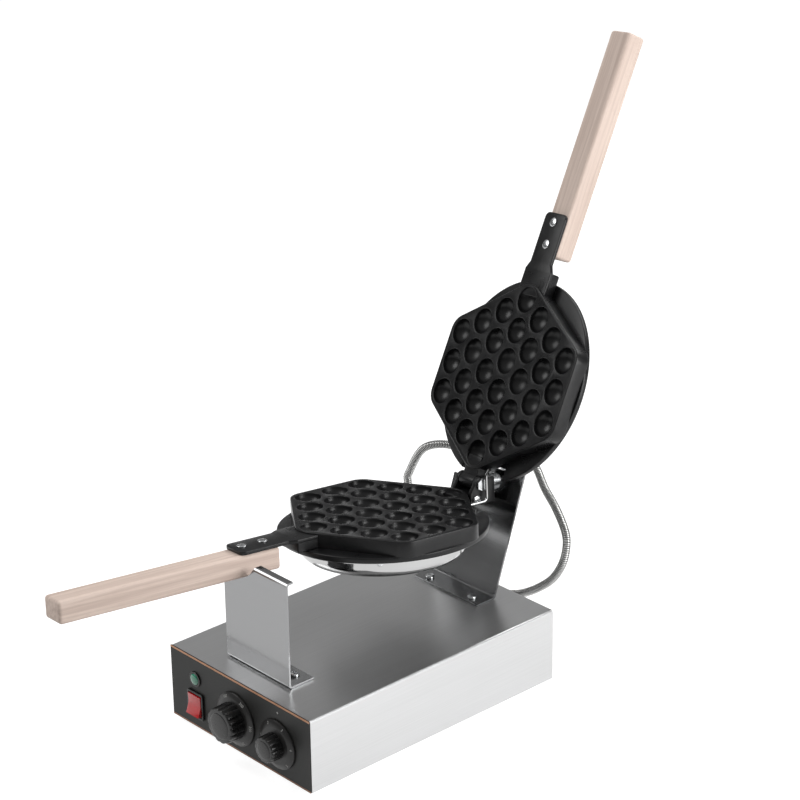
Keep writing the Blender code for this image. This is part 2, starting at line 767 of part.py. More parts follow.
place(
    standing_panel(front_y, 1, front_holes + foot_holes[:2]),
    "front_panel", STAINLESS, box_frame, SIDE_VIEW,
)
gland_hole = cylinder(FERRULE_SHANK_R + GAP, SHEET + 2 * OVERRUN, HOLE_SIDES)
inlet_z = BOX_BASE + INLET_Z
rear_holes = [
    (gland_hole, at(UPPER_GLAND_X, rear_y, GLAND_Z) @ hole_through),
    (gland_hole, at(LOWER_GLAND_X, rear_y, GLAND_Z) @ hole_through),
    (
        block((INLET_BODY_W + 2 * GAP, SHEET + 2 * OVERRUN, INLET_BODY_H + 2 * GAP)),
        at(INLET_X, rear_y, inlet_z),
    ),
]
place(
    standing_panel(rear_y, -1, rear_holes + foot_holes[2:]),
    "rear_panel", STAINLESS, box_frame, SIDE_VIEW,
)

# Lamp: a flanged barrel through the panel, with a domed lens

lamp_matrix = at(LAMP_X, BOX_FRONT, LAMP_Z) @ FACING_FRONT
place(
    turned([
        (0, LAMP_DOME), (LAMP_R * math.sin(math.radians(45)), LAMP_DOME * math.cos(math.radians(40))),
        (LAMP_R, LAMP_FLANGE_T), (LAMP_FLANGE_R, LAMP_FLANGE_T), (LAMP_FLANGE_R, GAP),
        (LAMP_BARREL_R, GAP), (LAMP_BARREL_R, -LAMP_L), (0, -LAMP_L),
    ], LAMP_SIDES),
    "indicator_lamp", GREEN, box_frame, lamp_matrix, smooth=True,
)

# Rocker switch: the housing through the panel, the rocker tilting in its pocket

switch_matrix = at(SWITCH_X, BOX_FRONT, SWITCH_Z) @ FACING_FRONT
rocker_reach = math.hypot(ROCKER_HALF, ROCKER_TIP) + ROCKER_PLAY
pocket_depth = ROCKER_HALF + ROCKER_PLAY
place(
    shaped(
        prism(rectangle(SWITCH_W, SWITCH_H, SWITCH_CORNER), SWITCH_FLANGE_T),
        add=[(
            block((SWITCH_BODY_W, SWITCH_BODY_H, SWITCH_BODY_L + LAP)),
            at(0, 0, -SWITCH_FLANGE_T / 2 - SWITCH_BODY_L / 2 + LAP / 2),
        )],
        cut=[(
            block((ROCKER_W + 2 * ROCKER_PLAY, 2 * rocker_reach, pocket_depth + SWITCH_FLANGE_T + OVERRUN)),
            at(0, 0, (OVERRUN - pocket_depth) / 2),
        )],
    ),
    "switch_housing", BLACK, box_frame, switch_matrix @ at(0, 0, GAP + SWITCH_FLANGE_T / 2),
)
rocker_frame = empty(
    "rocker_frame",
    at(SWITCH_X, BOX_FRONT - GAP, SWITCH_Z)
    @ Matrix.Rotation(-ROCKER_TILT, 4, "X"),
    box_frame,
)
rocker_outline = [(ROCKER_HALF, ROCKER_TIP), (0, ROCKER_DIP), (-ROCKER_HALF, ROCKER_TIP)]
rocker_outline += arc((0, 0), ROCKER_HALF, 180, 360, 10)
place(
    prism(rocker_outline, ROCKER_W), "rocker", RED, rocker_frame,
    Matrix(((0, 0, 1, 0), (0, -1, 0, 0), (1, 0, 0, 0), (0, 0, 0, 1))),
)

# Knobs, their spindles and what the spindles turn


def knob(name, x, z, dial_r, grip_r, grip_l):
    """A dial with a fluted grip on the front, on a spindle into the body behind the panel."""
    frame = empty(name + "_frame", at(x, BOX_FRONT, z) @ FACING_FRONT, box_frame)
    dial = turned([
        (0, DIAL_T), (dial_r * DIAL_FLAT_SHARE, DIAL_T), (dial_r, DIAL_EDGE_T), (dial_r, 0), (0, 0),
    ], 32)
    flutes = []
    for i in range(2 * GRIP_FLUTES):
        radius = grip_r - (i % 2) * GRIP_FLUTE
        angle = math.pi * i / GRIP_FLUTES
        flutes.append((radius * math.cos(angle), radius * math.sin(angle)))
    grip = prism(flutes, grip_l + LAP)
    cap = turned([
        (0, GRIP_EASE), (grip_r - 2 * GRIP_EASE, GRIP_EASE), (grip_r - GRIP_EASE, 0),
        (grip_r - GRIP_EASE, -LAP), (0, -LAP),
    ], 24)
    bore = cylinder(SPINDLE_R + GAP, KNOB_BORE_L + OVERRUN, 16)
    place(
        shaped(dial, add=[
            (grip, at(0, 0, DIAL_T + grip_l / 2 - LAP / 2)), (cap, at(0, 0, DIAL_T + grip_l)),
        ], cut=[(bore, at(0, 0, (KNOB_BORE_L - OVERRUN) / 2))]),
        name + "_knob", BLACK, frame, at(0, 0, GAP), smooth=True,
    )
    inner = PLATE_T + GAP + SHEET + GAP
    length = KNOB_BORE_L + inner + SPINDLE_INTO_BODY
    place(
        cylinder(SPINDLE_R, length, 20), name + "_spindle", ZINC, frame,
        at(0, 0, KNOB_BORE_L - length / 2), smooth=True,
    )
    hole = cylinder(SPINDLE_R + PIN_PLAY, SPINDLE_INTO_BODY + GAP + OVERRUN, 20)
    body = prism(rectangle(CONTROL_W, CONTROL_W, CONTROL_CORNER), CONTROL_L)
    place(
        shaped(body, cut=[(hole, at(0, 0, CONTROL_L / 2 - (SPINDLE_INTO_BODY + GAP - OVERRUN) / 2))]),
        name + "_body", MOULDED, box_frame,
        at(x, BOX_FRONT, z) @ FACING_FRONT @ at(0, 0, -inner - CONTROL_L / 2),
    )


knob("thermostat", HEAT_X, HEAT_Z, HEAT_DIAL_R, HEAT_GRIP_R, HEAT_GRIP_L)
knob("timer", TIME_X, TIME_Z, TIME_DIAL_R, TIME_GRIP_R, TIME_GRIP_L)

# Inside the box, and the mains inlet in the rear panel

place(
    block(TERMINAL_SIZE, GRIP_EASE), "terminal_block", MOULDED, box_frame,
    at(*TERMINAL_AT, TRAY_Z + SHEET + GAP + TERMINAL_SIZE[2] / 2),
)
inlet_matrix = at(INLET_X, BOX_REAR + GAP, inlet_z) @ FACING_FRONT
pocket_w, pocket_h = INLET_BODY_W - 2 * INLET_WALL, INLET_BODY_H - 2 * INLET_WALL
place(
    shaped(
        prism(rectangle(INLET_W, INLET_H, INLET_CORNER), INLET_FLANGE_T),
        add=[(
            block((INLET_BODY_W, INLET_BODY_H, INLET_BODY_L + LAP)),
            at(0, 0, (INLET_FLANGE_T + INLET_BODY_L - LAP) / 2),
        )],
        cut=[(
            shaped(prism(rectangle(pocket_w, pocket_h, INLET_CORNER), INLET_POCKET + OVERRUN), cut=[
                (block(INLET_PIN), at(x, y, (INLET_POCKET + OVERRUN - INLET_PIN[2]) / 2 + LAP / 2))
                for x, y in (
                    (-INLET_PIN_SPREAD, -INLET_PIN_RISE), (0, INLET_PIN_RISE),
                    (INLET_PIN_SPREAD, -INLET_PIN_RISE),
                )
            ]),
            at(0, 0, (INLET_POCKET - OVERRUN - INLET_FLANGE_T) / 2),
        )],
    ),
    "mains_inlet", BLACK, box_frame, inlet_matrix @ at(0, 0, -INLET_FLANGE_T / 2),
)
# The cradle: its saddle is round about the swivel axis and just clears the handle's edges

stand_z = BOX_TOP + GAP + STAND_SHEET / 2
HANDLE_TOP = ARM_TOP + ARM_T + GAP
HANDLE_BASE = HANDLE_TOP + HANDLE_H
SADDLE_R = (math.hypot(HANDLE_W / 2 - HANDLE_BEVEL, HANDLE_BASE) + GAP) / math.cos(math.pi / SADDLE_SIDES)
saddle_v = (CRADLE_FRONT - PAN_Y) / (math.cos(PAN_YAW) * math.cos(PAN_TILT))
CRADLE_TOP = BOX_TOP + CRADLE_H
cradle_mid = CRADLE_FRONT + STAND_SHEET / 2
cradle_path = [
    (CRADLE_FRONT + CRADLE_FOOT, stand_z), (cradle_mid, stand_z),
    (cradle_mid, CRADLE_TOP - STAND_SHEET / 2),
    (CRADLE_FRONT + CRADLE_LIP, CRADLE_TOP - STAND_SHEET / 2),
]
cradle_holes = stand_holes[:2] + [
    (cylinder(SADDLE_R, 4 * CRADLE_LIP, SADDLE_SIDES), SET_MATRIX @ at(0, saddle_v, 0) @ TURN_Y),
]
place(
    shaped(prism(bent_sheet(cradle_path, STAND_SHEET, STAND_BEND), STAND_W), cut=[
        (mesh, (at(CRADLE_X, 0, 0) @ SIDE_VIEW).inverted() @ matrix) for mesh, matrix in cradle_holes
    ]),
    "cradle", STAINLESS, box_frame, at(CRADLE_X, 0, 0) @ SIDE_VIEW,
)

# The bracket: its plate leans back, holds the swivel bush and clears the open lid

bend_y = BRACKET_FRONT + BRACKET_FOOT
plate_top_y = bend_y + (BOX_TOP + BRACKET_H - stand_z) * math.tan(BRACKET_LEAN)
bracket_path = [
    (BRACKET_FRONT, stand_z), (bend_y, stand_z), (plate_top_y, BOX_TOP + BRACKET_H),
]
swivel = SET_MATRIX.to_3x3() @ Vector((0, 1, 0))
plate_y = bend_y + (PAN_Z - BOX_TOP) * math.tan(BRACKET_LEAN)
AXLE_AT_PLATE = SET_MATRIX.translation + swivel * ((plate_y - PAN_Y) / swivel.y)
PLATE_MATRIX = at(BRACKET_X, bend_y, stand_z) @ Matrix.Rotation(-BRACKET_LEAN, 4, "X")
plate_length = (BRACKET_H - GAP - STAND_SHEET / 2) / math.cos(BRACKET_LEAN)
cut_radius = (LID_CUT_HALF ** 2 + LID_CUT_DEPTH ** 2) / (2 * LID_CUT_DEPTH)
half_angle = math.degrees(math.asin(LID_CUT_HALF / cut_radius))
cut_outline = arc((0, cut_radius), cut_radius, -90 - half_angle, -90 + half_angle, LID_CUT_STEPS)
cut_outline += [(LID_CUT_HALF, LID_CUT_DEPTH + OVERRUN), (-LID_CUT_HALF, LID_CUT_DEPTH + OVERRUN)]
outside = STAND_W / 2 + OVERRUN
axle_x = AXLE_AT_PLATE.x - BRACKET_X
axle_up = (PLATE_MATRIX.inverted() @ AXLE_AT_PLATE).z
shoulder_r = BUSH_R + GAP + BUSH_WALL
shoulder_outline = [(-outside, axle_up - LEDGE_DROP), (axle_x - shoulder_r, axle_up - LEDGE_DROP)]
shoulder_outline += arc((axle_x, axle_up), shoulder_r, 180, 90, SHOULDER_STEPS)
shoulder_outline += [(axle_x, plate_length + OVERRUN), (-outside, plate_length + OVERRUN)]
bracket_holes = stand_holes[2:] + [
    (
        prism(shoulder_outline, 2 * STAND_SHEET + 2 * OVERRUN),
        PLATE_MATRIX @ Matrix.Rotation(math.radians(90), 4, "X"),
    ),
    (
        prism(cut_outline, 2 * STAND_SHEET + 2 * OVERRUN),
        PLATE_MATRIX @ at(axle_x, 0, plate_length - LID_CUT_DEPTH)
        @ Matrix.Rotation(math.radians(90), 4, "X"),
    ),
    (
        cylinder(BUSH_R + GAP, BUSH_END - BUSH_START, PIN_SIDES),
        SET_MATRIX @ at(0, (BUSH_START + BUSH_END) / 2, 0) @ TURN_Y,
    ),
    (
        cylinder(GROMMET_WAIST_R + GAP, 2 * STAND_SHEET + 2 * OVERRUN, GROMMET_SIDES),
        PLATE_MATRIX @ at(GROMMET_X - BRACKET_X, 0, GROMMET_UP) @ TURN_Y,
    ),
]
place(
    shaped(prism(bent_sheet(bracket_path, STAND_SHEET, STAND_BEND), STAND_W), cut=[
        (mesh, (at(BRACKET_X, 0, 0) @ SIDE_VIEW).inverted() @ matrix) for mesh, matrix in bracket_holes
    ]),
    "rear_bracket", STAINLESS, box_frame, at(BRACKET_X, 0, 0) @ SIDE_VIEW,
)
stand_screw = headed(STAND_SCREW_R, STAND_SCREW_L, STAND_SCREW_HEAD_R, STAND_SCREW_HEAD_T, 10)
screw_z = stand_z + STAND_SHEET / 2 + GAP
for name, (x, y) in zip(
    ("cradle_screw_left", "cradle_screw_right", "bracket_screw_left", "bracket_screw_right"),
    CRADLE_SCREWS + BRACKET_SCREWS,
):
    place(stand_screw.copy(), name, ZINC, box_frame, at(x, y, screw_z), smooth=True)
lip = STAND_SHEET / 2 + GAP
place(
    turned([
        (GROMMET_BORE_R, lip + GROMMET_LIP_T), (GROMMET_R, lip + GROMMET_LIP_T), (GROMMET_R, lip),
        (GROMMET_WAIST_R, lip), (GROMMET_WAIST_R, -lip), (GROMMET_R, -lip),
        (GROMMET_R, -lip - GROMMET_LIP_T), (GROMMET_BORE_R, -lip - GROMMET_LIP_T),
    ], GROMMET_SIDES),
    "bracket_grommet", RUBBER, box_frame,
    PLATE_MATRIX @ at(GROMMET_X - BRACKET_X, 0, GROMMET_UP) @ TURN_Y, smooth=True,
)
place(
    ring(BUSH_R, AXLE_R + PIN_PLAY, BUSH_START, BUSH_END, PIN_SIDES),
    "axle_bush", ZINC, box_frame, SET_MATRIX @ TURN_Y, smooth=True,
)

# The cast pan, drawn for the lower side; its cells are cut last


def cell_cutter():
    bowl = turned(
        [(0, OVERRUN), (CELL_R, OVERRUN), (CELL_R, 0)]
        + [(CELL_R * wide, -CELL_DEPTH * deep) for wide, deep in CELL_SHARES]
        + [(0, -CELL_DEPTH)],
        CELL_SIDES,
    )
    places = []
    for column, count in enumerate(CELL_COUNTS):
        for side in ((1, -1) if column else (1,)):
            u = side * column * CELL_PITCH * math.cos(math.radians(30))
            first = (count - 1) / 2 * CELL_PITCH
            places += [(u, first - k * CELL_PITCH, -FACE_CLEAR) for k in range(count)]
    return copies(bowl, places, Matrix.Rotation(math.pi / CELL_SIDES / 2, 4, "Z"))


slant = (CELL_COUNTS[0] - 1) / 2 * CELL_PITCH * math.cos(math.radians(30)) + CELL_R + CELL_LAND
corner_v = (slant - FACE_HALF * math.sin(math.radians(30))) / math.cos(math.radians(30))
tip_v = slant / math.cos(math.radians(30))
hexagon = rounded(
    [
        (FACE_HALF, -corner_v), (FACE_HALF, corner_v), (0, tip_v),
        (-FACE_HALF, corner_v), (-FACE_HALF, -corner_v), (0, -tip_v),
    ],
    [CELL_R + CELL_LAND, CELL_R + CELL_LAND, CORNER_R, CELL_R + CELL_LAND, CELL_R + CELL_LAND, CORNER_R],
    4,
)
SKIRT_R = COVER_R - COVER_T / 2 - GAP
notch_angle = math.degrees(math.acos(NOTCH_HALF / RIM_R))
rim_outline = arc((0, 0), RIM_R, 180 - notch_angle, 360 + notch_angle, RIM_STEPS)
rim_outline += [(NOTCH_HALF, NOTCH_V), (-NOTCH_HALF, NOTCH_V)]
RIM_BASE = RIM_TOP + RIM_T
ELEMENT_W = HEX_H + GAP + ELEMENT_TUBE_R
CLAMP_TOP = ELEMENT_W + ELEMENT_TUBE_R + GAP
CLAMP_BASE = CLAMP_TOP + CLAMP_T
arm_outline = rounded([
    (-NECK_W / 2, -NECK_START), (-NECK_W / 2, -NECK_END), (-ARM_W / 2, -SHOULDER_END),
    (-ARM_W / 2, -ARM_END), (ARM_W / 2, -ARM_END), (ARM_W / 2, -SHOULDER_END),
    (NECK_W / 2, -NECK_END), (NECK_W / 2, -NECK_START),
], [0, 0, 0, ARM_CORNER, ARM_CORNER, 0, 0, 0])
cover_screw_w = RIM_BASE + COVER_SCREW_DROP
skirt_holes = [
    (
        cylinder(COVER_SCREW_R + GAP, 2 * SKIRT_T + 2 * OVERRUN, 10),
        Matrix.Rotation(math.radians(angle), 4, "Z") @ at(SKIRT_R, 0, -cover_screw_w) @ TURN_X,
    )
    for angle in COVER_SCREW_ANGLES
]


def casting(extra, holes):
    """The whole casting: block, rim, skirt, boss, neck and arm, less its cells and holes."""
    add = [
        (
            prism(rim_outline, RIM_T, [circle(SKIRT_R - SKIRT_T / 2, COVER_STEPS)]),
            at(0, 0, -RIM_TOP - RIM_T / 2),
        ),
        (ring(SKIRT_R, SKIRT_R - SKIRT_T, -RIM_BASE - SKIRT_H, -RIM_TOP - LAP / 2, COVER_STEPS), Matrix()),
        (
            cylinder(BOSS_R, CLAMP_TOP - GAP - HEX_H + LAP, 16),
            at(0, 0, -(CLAMP_TOP - GAP + HEX_H - LAP) / 2),
        ),
        (block((NECK_W - LAP, NECK_END - NECK_START, NECK_BASE - ARM_TOP - LAP)),
         at(0, -(NECK_START + NECK_END) / 2, -(NECK_BASE + ARM_TOP + LAP) / 2)),
        (prism(arm_outline, ARM_T), at(0, 0, -ARM_TOP - ARM_T / 2)),
    ] + extra
    bolt_hole = cylinder(HANDLE_BOLT_R + GAP, ARM_T + 2 * OVERRUN, 12)
    cut = [
        (cell_cutter(), Matrix()),
        (bolt_hole, at(0, -HANDLE_BOLT_NEAR, -ARM_TOP - ARM_T / 2)),
        (bolt_hole, at(0, -HANDLE_BOLT_FAR, -ARM_TOP - ARM_T / 2)),
        (cylinder(CLAMP_STUD_R + GAP, CLAMP_STUD_L + OVERRUN, 12),
         at(0, 0, -(CLAMP_TOP - GAP) + (CLAMP_STUD_L - OVERRUN) / 2)),
    ] + skirt_holes + holes
    block_mesh = prism(hexagon, HEX_H - FACE_CLEAR)
    block_mesh.transform(at(0, 0, -(HEX_H + FACE_CLEAR) / 2))
    return shaped(block_mesh, add, cut)


lower_outlet = (
    Matrix.Rotation(math.radians(LOWER_OUTLET_ANGLE), 4, "Z")
    @ at(COVER_R + COVER_T / 2, 0, -RIM_BASE - LOWER_OUTLET_DROP) @ TURN_X
)
shank_slot = (cylinder(FERRULE_SHANK_R + GAP, 4 * SKIRT_T, 14), lower_outlet @ at(0, 0, -SKIRT_T))
yoke_inner = KNUCKLE_HALF + CHEEK_GAP
yoke_half = yoke_inner + CHEEK_T
yoke_bolt_hole = cylinder(YOKE_BOLT_R + GAP, 2 * yoke_half + 2 * OVERRUN, 12)
yoke_bolt_holes = [(yoke_bolt_hole, at(0, YOKE_BOLT_V, -YOKE_BOLT_W) @ TURN_X)]
rod_seat = (
    cylinder(ROD_R + GAP, ROD_V - ROD_SEAT, 12),
    at(ROD_U, (ROD_V + ROD_SEAT) / 2, -ROD_W) @ TURN_Y,
)
place(
    casting(
        [(block((2 * TANG_HALF, TANG_END - TANG_START, TANG_BASE - TANG_TOP)),
          at(0, (TANG_START + TANG_END) / 2, -(TANG_TOP + TANG_BASE) / 2))],
        yoke_bolt_holes + [rod_seat, shank_slot],
    ),
    "lower_pan", CAST, set_frame,
)
knuckle_base = HINGE_W + KNUCKLE_R
pin_hole = cylinder(PIN_R + PIN_PLAY, 2 * yoke_half + 2 * OVERRUN, PIN_SIDES)
place(
    casting(
        [
            (cylinder(KNUCKLE_R, 2 * KNUCKLE_HALF, PIN_SIDES), at(0, HINGE_V, -HINGE_W) @ TURN_X),
            (block((2 * KNUCKLE_NECK_HALF, HINGE_V - TANG_START, knuckle_base - KNUCKLE_UNDER)),
             at(0, (HINGE_V + TANG_START) / 2, -(knuckle_base + KNUCKLE_UNDER) / 2)),
        ],
        [(pin_hole, at(0, HINGE_V, -HINGE_W) @ TURN_X)],
    ),
    "upper_pan", CAST, lid_frame, TO_LID,
)


# What each pan carries, drawn for the lower side


def cover_depth(radius):
    """How far the cover's outside lies under the rim at a radius."""
    for (wide, deep), (inner, deeper) in zip(COVER_SHARES, COVER_SHARES[1:]):
        if COVER_R * inner <= radius <= COVER_R * wide:
            share = (COVER_R * wide - radius) / (COVER_R * (wide - inner))
            return COVER_DEPTH * (deep + share * (deeper - deep)) + COVER_T / 2
    return COVER_T / 2


cover_top = RIM_BASE + GAP + COVER_T / 2
cover_profile = [(COVER_FLANGE_R, -cover_top), (COVER_R + COVER_T, -cover_top)]
cover_profile += [(COVER_R * wide, -cover_top - COVER_DEPTH * deep) for wide, deep in COVER_SHARES]
element_points = []
for i in range(ELEMENT_POINTS):
    angle = math.radians(90 + ELEMENT_OPEN / 2 + (360 - ELEMENT_OPEN) * i / (ELEMENT_POINTS - 1))
    element_points.append((ELEMENT_R * math.cos(angle), ELEMENT_R * math.sin(angle), -ELEMENT_W))
first, last = element_points[0], element_points[-1]
element_points = (
    [(first[0], first[1] + ELEMENT_LEAD, first[2])] + element_points
    + [(last[0], last[1] + ELEMENT_LEAD, last[2])]
)


def pan_fittings(side, frame, matrix, outlet):
    """Element, clamp, cover, handle and all that fixes them."""
    place(tube(element_points, ELEMENT_TUBE_R), side + "_element", SHEATH, frame, matrix, smooth=True)
    bar = prism(rectangle(CLAMP_L, CLAMP_W, CLAMP_T), CLAMP_T)
    stud = cylinder(CLAMP_STUD_R, CLAMP_STUD_L + LAP, 12)
    bar = shaped(bar, add=[(stud, at(0, 0, (CLAMP_T + CLAMP_STUD_L - LAP) / 2))])
    place(bar, side + "_clamp", ZINC, frame, matrix @ at(0, 0, -CLAMP_TOP - CLAMP_T / 2))
    shank_hole = cylinder(FERRULE_SHANK_R + GAP, FERRULE_SHANK_L + 2 * OVERRUN, 14)
    cover = shaped(turned(cover_profile, COVER_STEPS, COVER_T), cut=skirt_holes + [
        (shank_hole, outlet),
        (block((2 * NOTCH_HALF, RIM_R - NOTCH_V, 2 * OVERRUN)), at(0, (RIM_R + NOTCH_V) / 2, -cover_top)),
    ])
    place(cover, side + "_cover", POLISHED, frame, matrix, smooth=True)
    screw = headed(COVER_SCREW_R, SKIRT_T, COVER_SCREW_HEAD_R, COVER_SCREW_HEAD_T)
    for place_name, angle in zip(("right", "left"), COVER_SCREW_ANGLES):
        place(
            screw.copy(), f"{side}_cover_screw_{place_name}", ZINC, frame,
            matrix @ Matrix.Rotation(math.radians(angle), 4, "Z")
            @ at(COVER_R + COVER_T / 2 + GAP, 0, -cover_screw_w) @ TURN_X, smooth=True,
        )
    bolt_hole = cylinder(HANDLE_BOLT_R + GAP, HANDLE_BOLT_DEPTH + OVERRUN, 12)
    handle_v = -(HANDLE_START + HANDLE_END) / 2
    hole_w = HANDLE_H / 2 - (HANDLE_BOLT_DEPTH - OVERRUN) / 2
    handle = block((HANDLE_W, HANDLE_END - HANDLE_START, HANDLE_H), HANDLE_BEVEL)
    handle = shaped(handle, cut=[
        (bolt_hole, at(0, -HANDLE_BOLT_NEAR - handle_v, hole_w)),
        (bolt_hole, at(0, -HANDLE_BOLT_FAR - handle_v, hole_w)),
    ])
    place(handle, side + "_handle", WOOD, frame, matrix @ at(0, handle_v, -HANDLE_TOP - HANDLE_H / 2))
    bolt = headed(HANDLE_BOLT_R, ARM_T + HANDLE_BOLT_DEPTH - GAP, HANDLE_BOLT_HEAD_R, HANDLE_BOLT_HEAD_T)
    bolt_w = -ARM_TOP + GAP
    for place_name, v in (("inner", HANDLE_BOLT_NEAR), ("outer", HANDLE_BOLT_FAR)):
        place(
            bolt.copy(), f"{side}_handle_bolt_{place_name}", ZINC, frame, matrix @ at(0, -v, bolt_w),
            smooth=True,
        )
    ferrule = hose_end()
    place(ferrule, side + "_ferrule", ZINC, frame, matrix @ outlet, smooth=True)


def hose_end():
    """A flanged sleeve on Z = 0, its shank through the wall and its socket out along +Z."""
    return turned([
        (HOSE_BORE_R, GAP + FERRULE_L), (FERRULE_R, GAP + FERRULE_L), (FERRULE_R, GAP + FERRULE_FLANGE_T),
        (FERRULE_FLANGE_R, GAP + FERRULE_FLANGE_T), (FERRULE_FLANGE_R, GAP), (FERRULE_SHANK_R, GAP),
        (FERRULE_SHANK_R, -FERRULE_SHANK_L), (HOSE_BORE_R, -FERRULE_SHANK_L),
    ], END_SIDES)


outlet_r = math.hypot(UPPER_OUTLET_U, UPPER_OUTLET_V)
upper_outlet = (
    at(UPPER_OUTLET_U, UPPER_OUTLET_V, -cover_top - cover_depth(outlet_r - FERRULE_FLANGE_R))
    @ Matrix.Rotation(math.pi, 4, "X")
)
pan_fittings("lower", set_frame, Matrix(), lower_outlet)
pan_fittings("upper", lid_frame, TO_LID, upper_outlet)

# The yoke, the hinge pin, the swivel axle and the bent rod

bridge_start = YOKE_END - BRIDGE_T
bridge_top = HINGE_W - (
    (bridge_start - HINGE_V) * math.sin(LID_ANGLE) - KNUCKLE_R - STOP_GAP
) / math.cos(LID_ANGLE)
yoke_outline = [
    (CHEEK_START, -YOKE_BASE), (YOKE_END, -YOKE_BASE), (YOKE_END, bridge_top), (bridge_start, bridge_top),
] + arc((HINGE_V, HINGE_W), CHEEK_R, 45, 180, 6) + [(CHEEK_START, -CHEEK_LIP)]
slot_l = bridge_start - CHEEK_START + OVERRUN
slot_h = 2 * (YOKE_BASE + CHEEK_R + HINGE_W)
place(
    shaped(prism(yoke_outline, 2 * yoke_half), cut=[
        (tool, SIDE_VIEW.inverted() @ matrix) for tool, matrix in [
            (block((2 * yoke_inner, slot_l, slot_h)), at(0, bridge_start - slot_l / 2, 0)),
            (pin_hole, at(0, HINGE_V, HINGE_W) @ TURN_X),
            (
                cylinder(AXLE_R + GAP, BRIDGE_T + 2 * OVERRUN, PIN_SIDES),
                at(0, YOKE_END - BRIDGE_T / 2, 0) @ TURN_Y,
            ),
        ] + yoke_bolt_holes
    ]),
    "hinge_yoke", CAST, set_frame, SIDE_VIEW,
)
place(
    headed(YOKE_BOLT_R, 2 * yoke_half + YOKE_BOLT_HEAD_T, YOKE_BOLT_HEAD_R, YOKE_BOLT_HEAD_T),
    "yoke_bolt", ZINC, set_frame, at(yoke_half + GAP, YOKE_BOLT_V, -YOKE_BOLT_W) @ TURN_X, smooth=True,
)
place(
    headed(PIN_R, 2 * yoke_half + 2 * GAP + PIN_NUT_T, PIN_HEAD_R, PIN_HEAD_T, PIN_SIDES),
    "hinge_pin", ZINC, set_frame,
    at(-yoke_half - GAP, HINGE_V, HINGE_W) @ TURN_X @ Matrix.Rotation(math.pi, 4, "X"),
    smooth=True,
)
place(
    prism(circle(PIN_NUT_R, 6), PIN_NUT_T, [circle(PIN_R + GAP, 12)]),
    "pin_nut", ZINC, set_frame, at(yoke_half + GAP + PIN_NUT_T / 2, HINGE_V, HINGE_W) @ TURN_X,
)
head_v = bridge_start - GAP
axle_l = AXLE_END - head_v
place(
    headed(AXLE_R, axle_l, AXLE_HEAD_R, AXLE_HEAD_T, PIN_SIDES),
    "swivel_axle", ZINC, set_frame,
    at(0, head_v, 0) @ TURN_Y @ Matrix.Rotation(math.pi, 4, "X"), smooth=True,
)
place(
    ring(WASHER_R, AXLE_R + GAP, 0, WASHER_T, 20),
    "thrust_washer", ZINC, set_frame, at(0, BUSH_START - GAP - WASHER_T, 0) @ TURN_Y, smooth=True,
)
place(
    prism(circle(AXLE_NUT_R, 6), AXLE_NUT_T, [circle(AXLE_R + GAP, 16)]),
    "axle_nut", ZINC, set_frame, at(0, BUSH_END + GAP + AXLE_NUT_T / 2, 0) @ TURN_Y,
)
rod_bend = 2 * ROD_R
place(
    tube([
        (ROD_U, ROD_SEAT + GAP, -ROD_W), (ROD_U, ROD_V - rod_bend, -ROD_W),
        (ROD_U, ROD_V, -ROD_W + rod_bend), (ROD_U, ROD_V, ROD_TOP - rod_bend),
        (ROD_U + rod_bend / 2, ROD_V, ROD_TOP), (ROD_TIP_U, ROD_V, ROD_TIP_W),
    ], ROD_R),
    "stop_rod", POLISHED, set_frame, smooth=True,
)

# The hoses: a smooth way through the route's points, then two points to a rib


def smooth_way(points, spacing):
    """Points at even steps along a smooth curve through the given ones."""
    ends = [points[0] * 2 - points[1]] + points + [points[-1] * 2 - points[-2]]
    fine = []
    for a, b, c, d in zip(ends, ends[1:], ends[2:], ends[3:]):
        for k in range(24):
            t = k / 24
            fine.append((
                b * 2 + (c - a) * t + (a * 2 - b * 5 + c * 4 - d) * t * t
                + (b * 3 - a - c * 3 + d) * t * t * t
            ) / 2)
    fine.append(points[-1])
    total = sum((q - p).length for p, q in zip(fine, fine[1:]))
    count = max(2, round(total / spacing))
    out, gone, target = [fine[0]], 0, total / count
    for p, q in zip(fine, fine[1:]):
        step = (q - p).length
        while step > 0 and gone + step >= target - TINY and len(out) < count:
            out.append(p.lerp(q, (target - gone) / step))
            target += total / count
        gone += step
    return out + [fine[-1]], total


def hose(name, start, end, route):
    """A ribbed hose from one end piece's face to another's."""
    face = GAP + FERRULE_L + GAP
    straight = 2 * HOSE_R
    tail = [start @ Vector((0, 0, face)), start @ Vector((0, 0, face + straight))]
    head = [end @ Vector((0, 0, face + straight)), end @ Vector((0, 0, face))]
    points = [tail[1]] + [Vector(point) for point in route] + [head[0]]
    guide = smooth_way(points, HOSE_R)[0]
    length = sum((q - p).length for p, q in zip(guide, guide[1:]))
    way = smooth_way(points, length / (2 * HOSE_RIBS))[0]
    radii = [1 if i % 2 else HOSE_VALLEY_R / HOSE_R for i in range(len(way))]
    outside = [tail[0]] + way + [head[1]]
    valley = HOSE_VALLEY_R / HOSE_R
    outer = tube([tuple(p) for p in outside], HOSE_R, 2, [valley] + radii + [valley])
    past = [tail[0] + (tail[0] - tail[1]).normalized() * OVERRUN]
    past += smooth_way([tail[0]] + points + [head[1]], 3 * HOSE_R)[0]
    past += [head[1] + (head[1] - head[0]).normalized() * OVERRUN]
    bore = tube([tuple(p) for p in past], HOSE_BORE_R, 1)
    place(shaped(outer, cut=[(bore, Matrix())]), name, POLISHED, box_frame, smooth=True)
    print(name, "length", round(length + 2 * straight, 4))


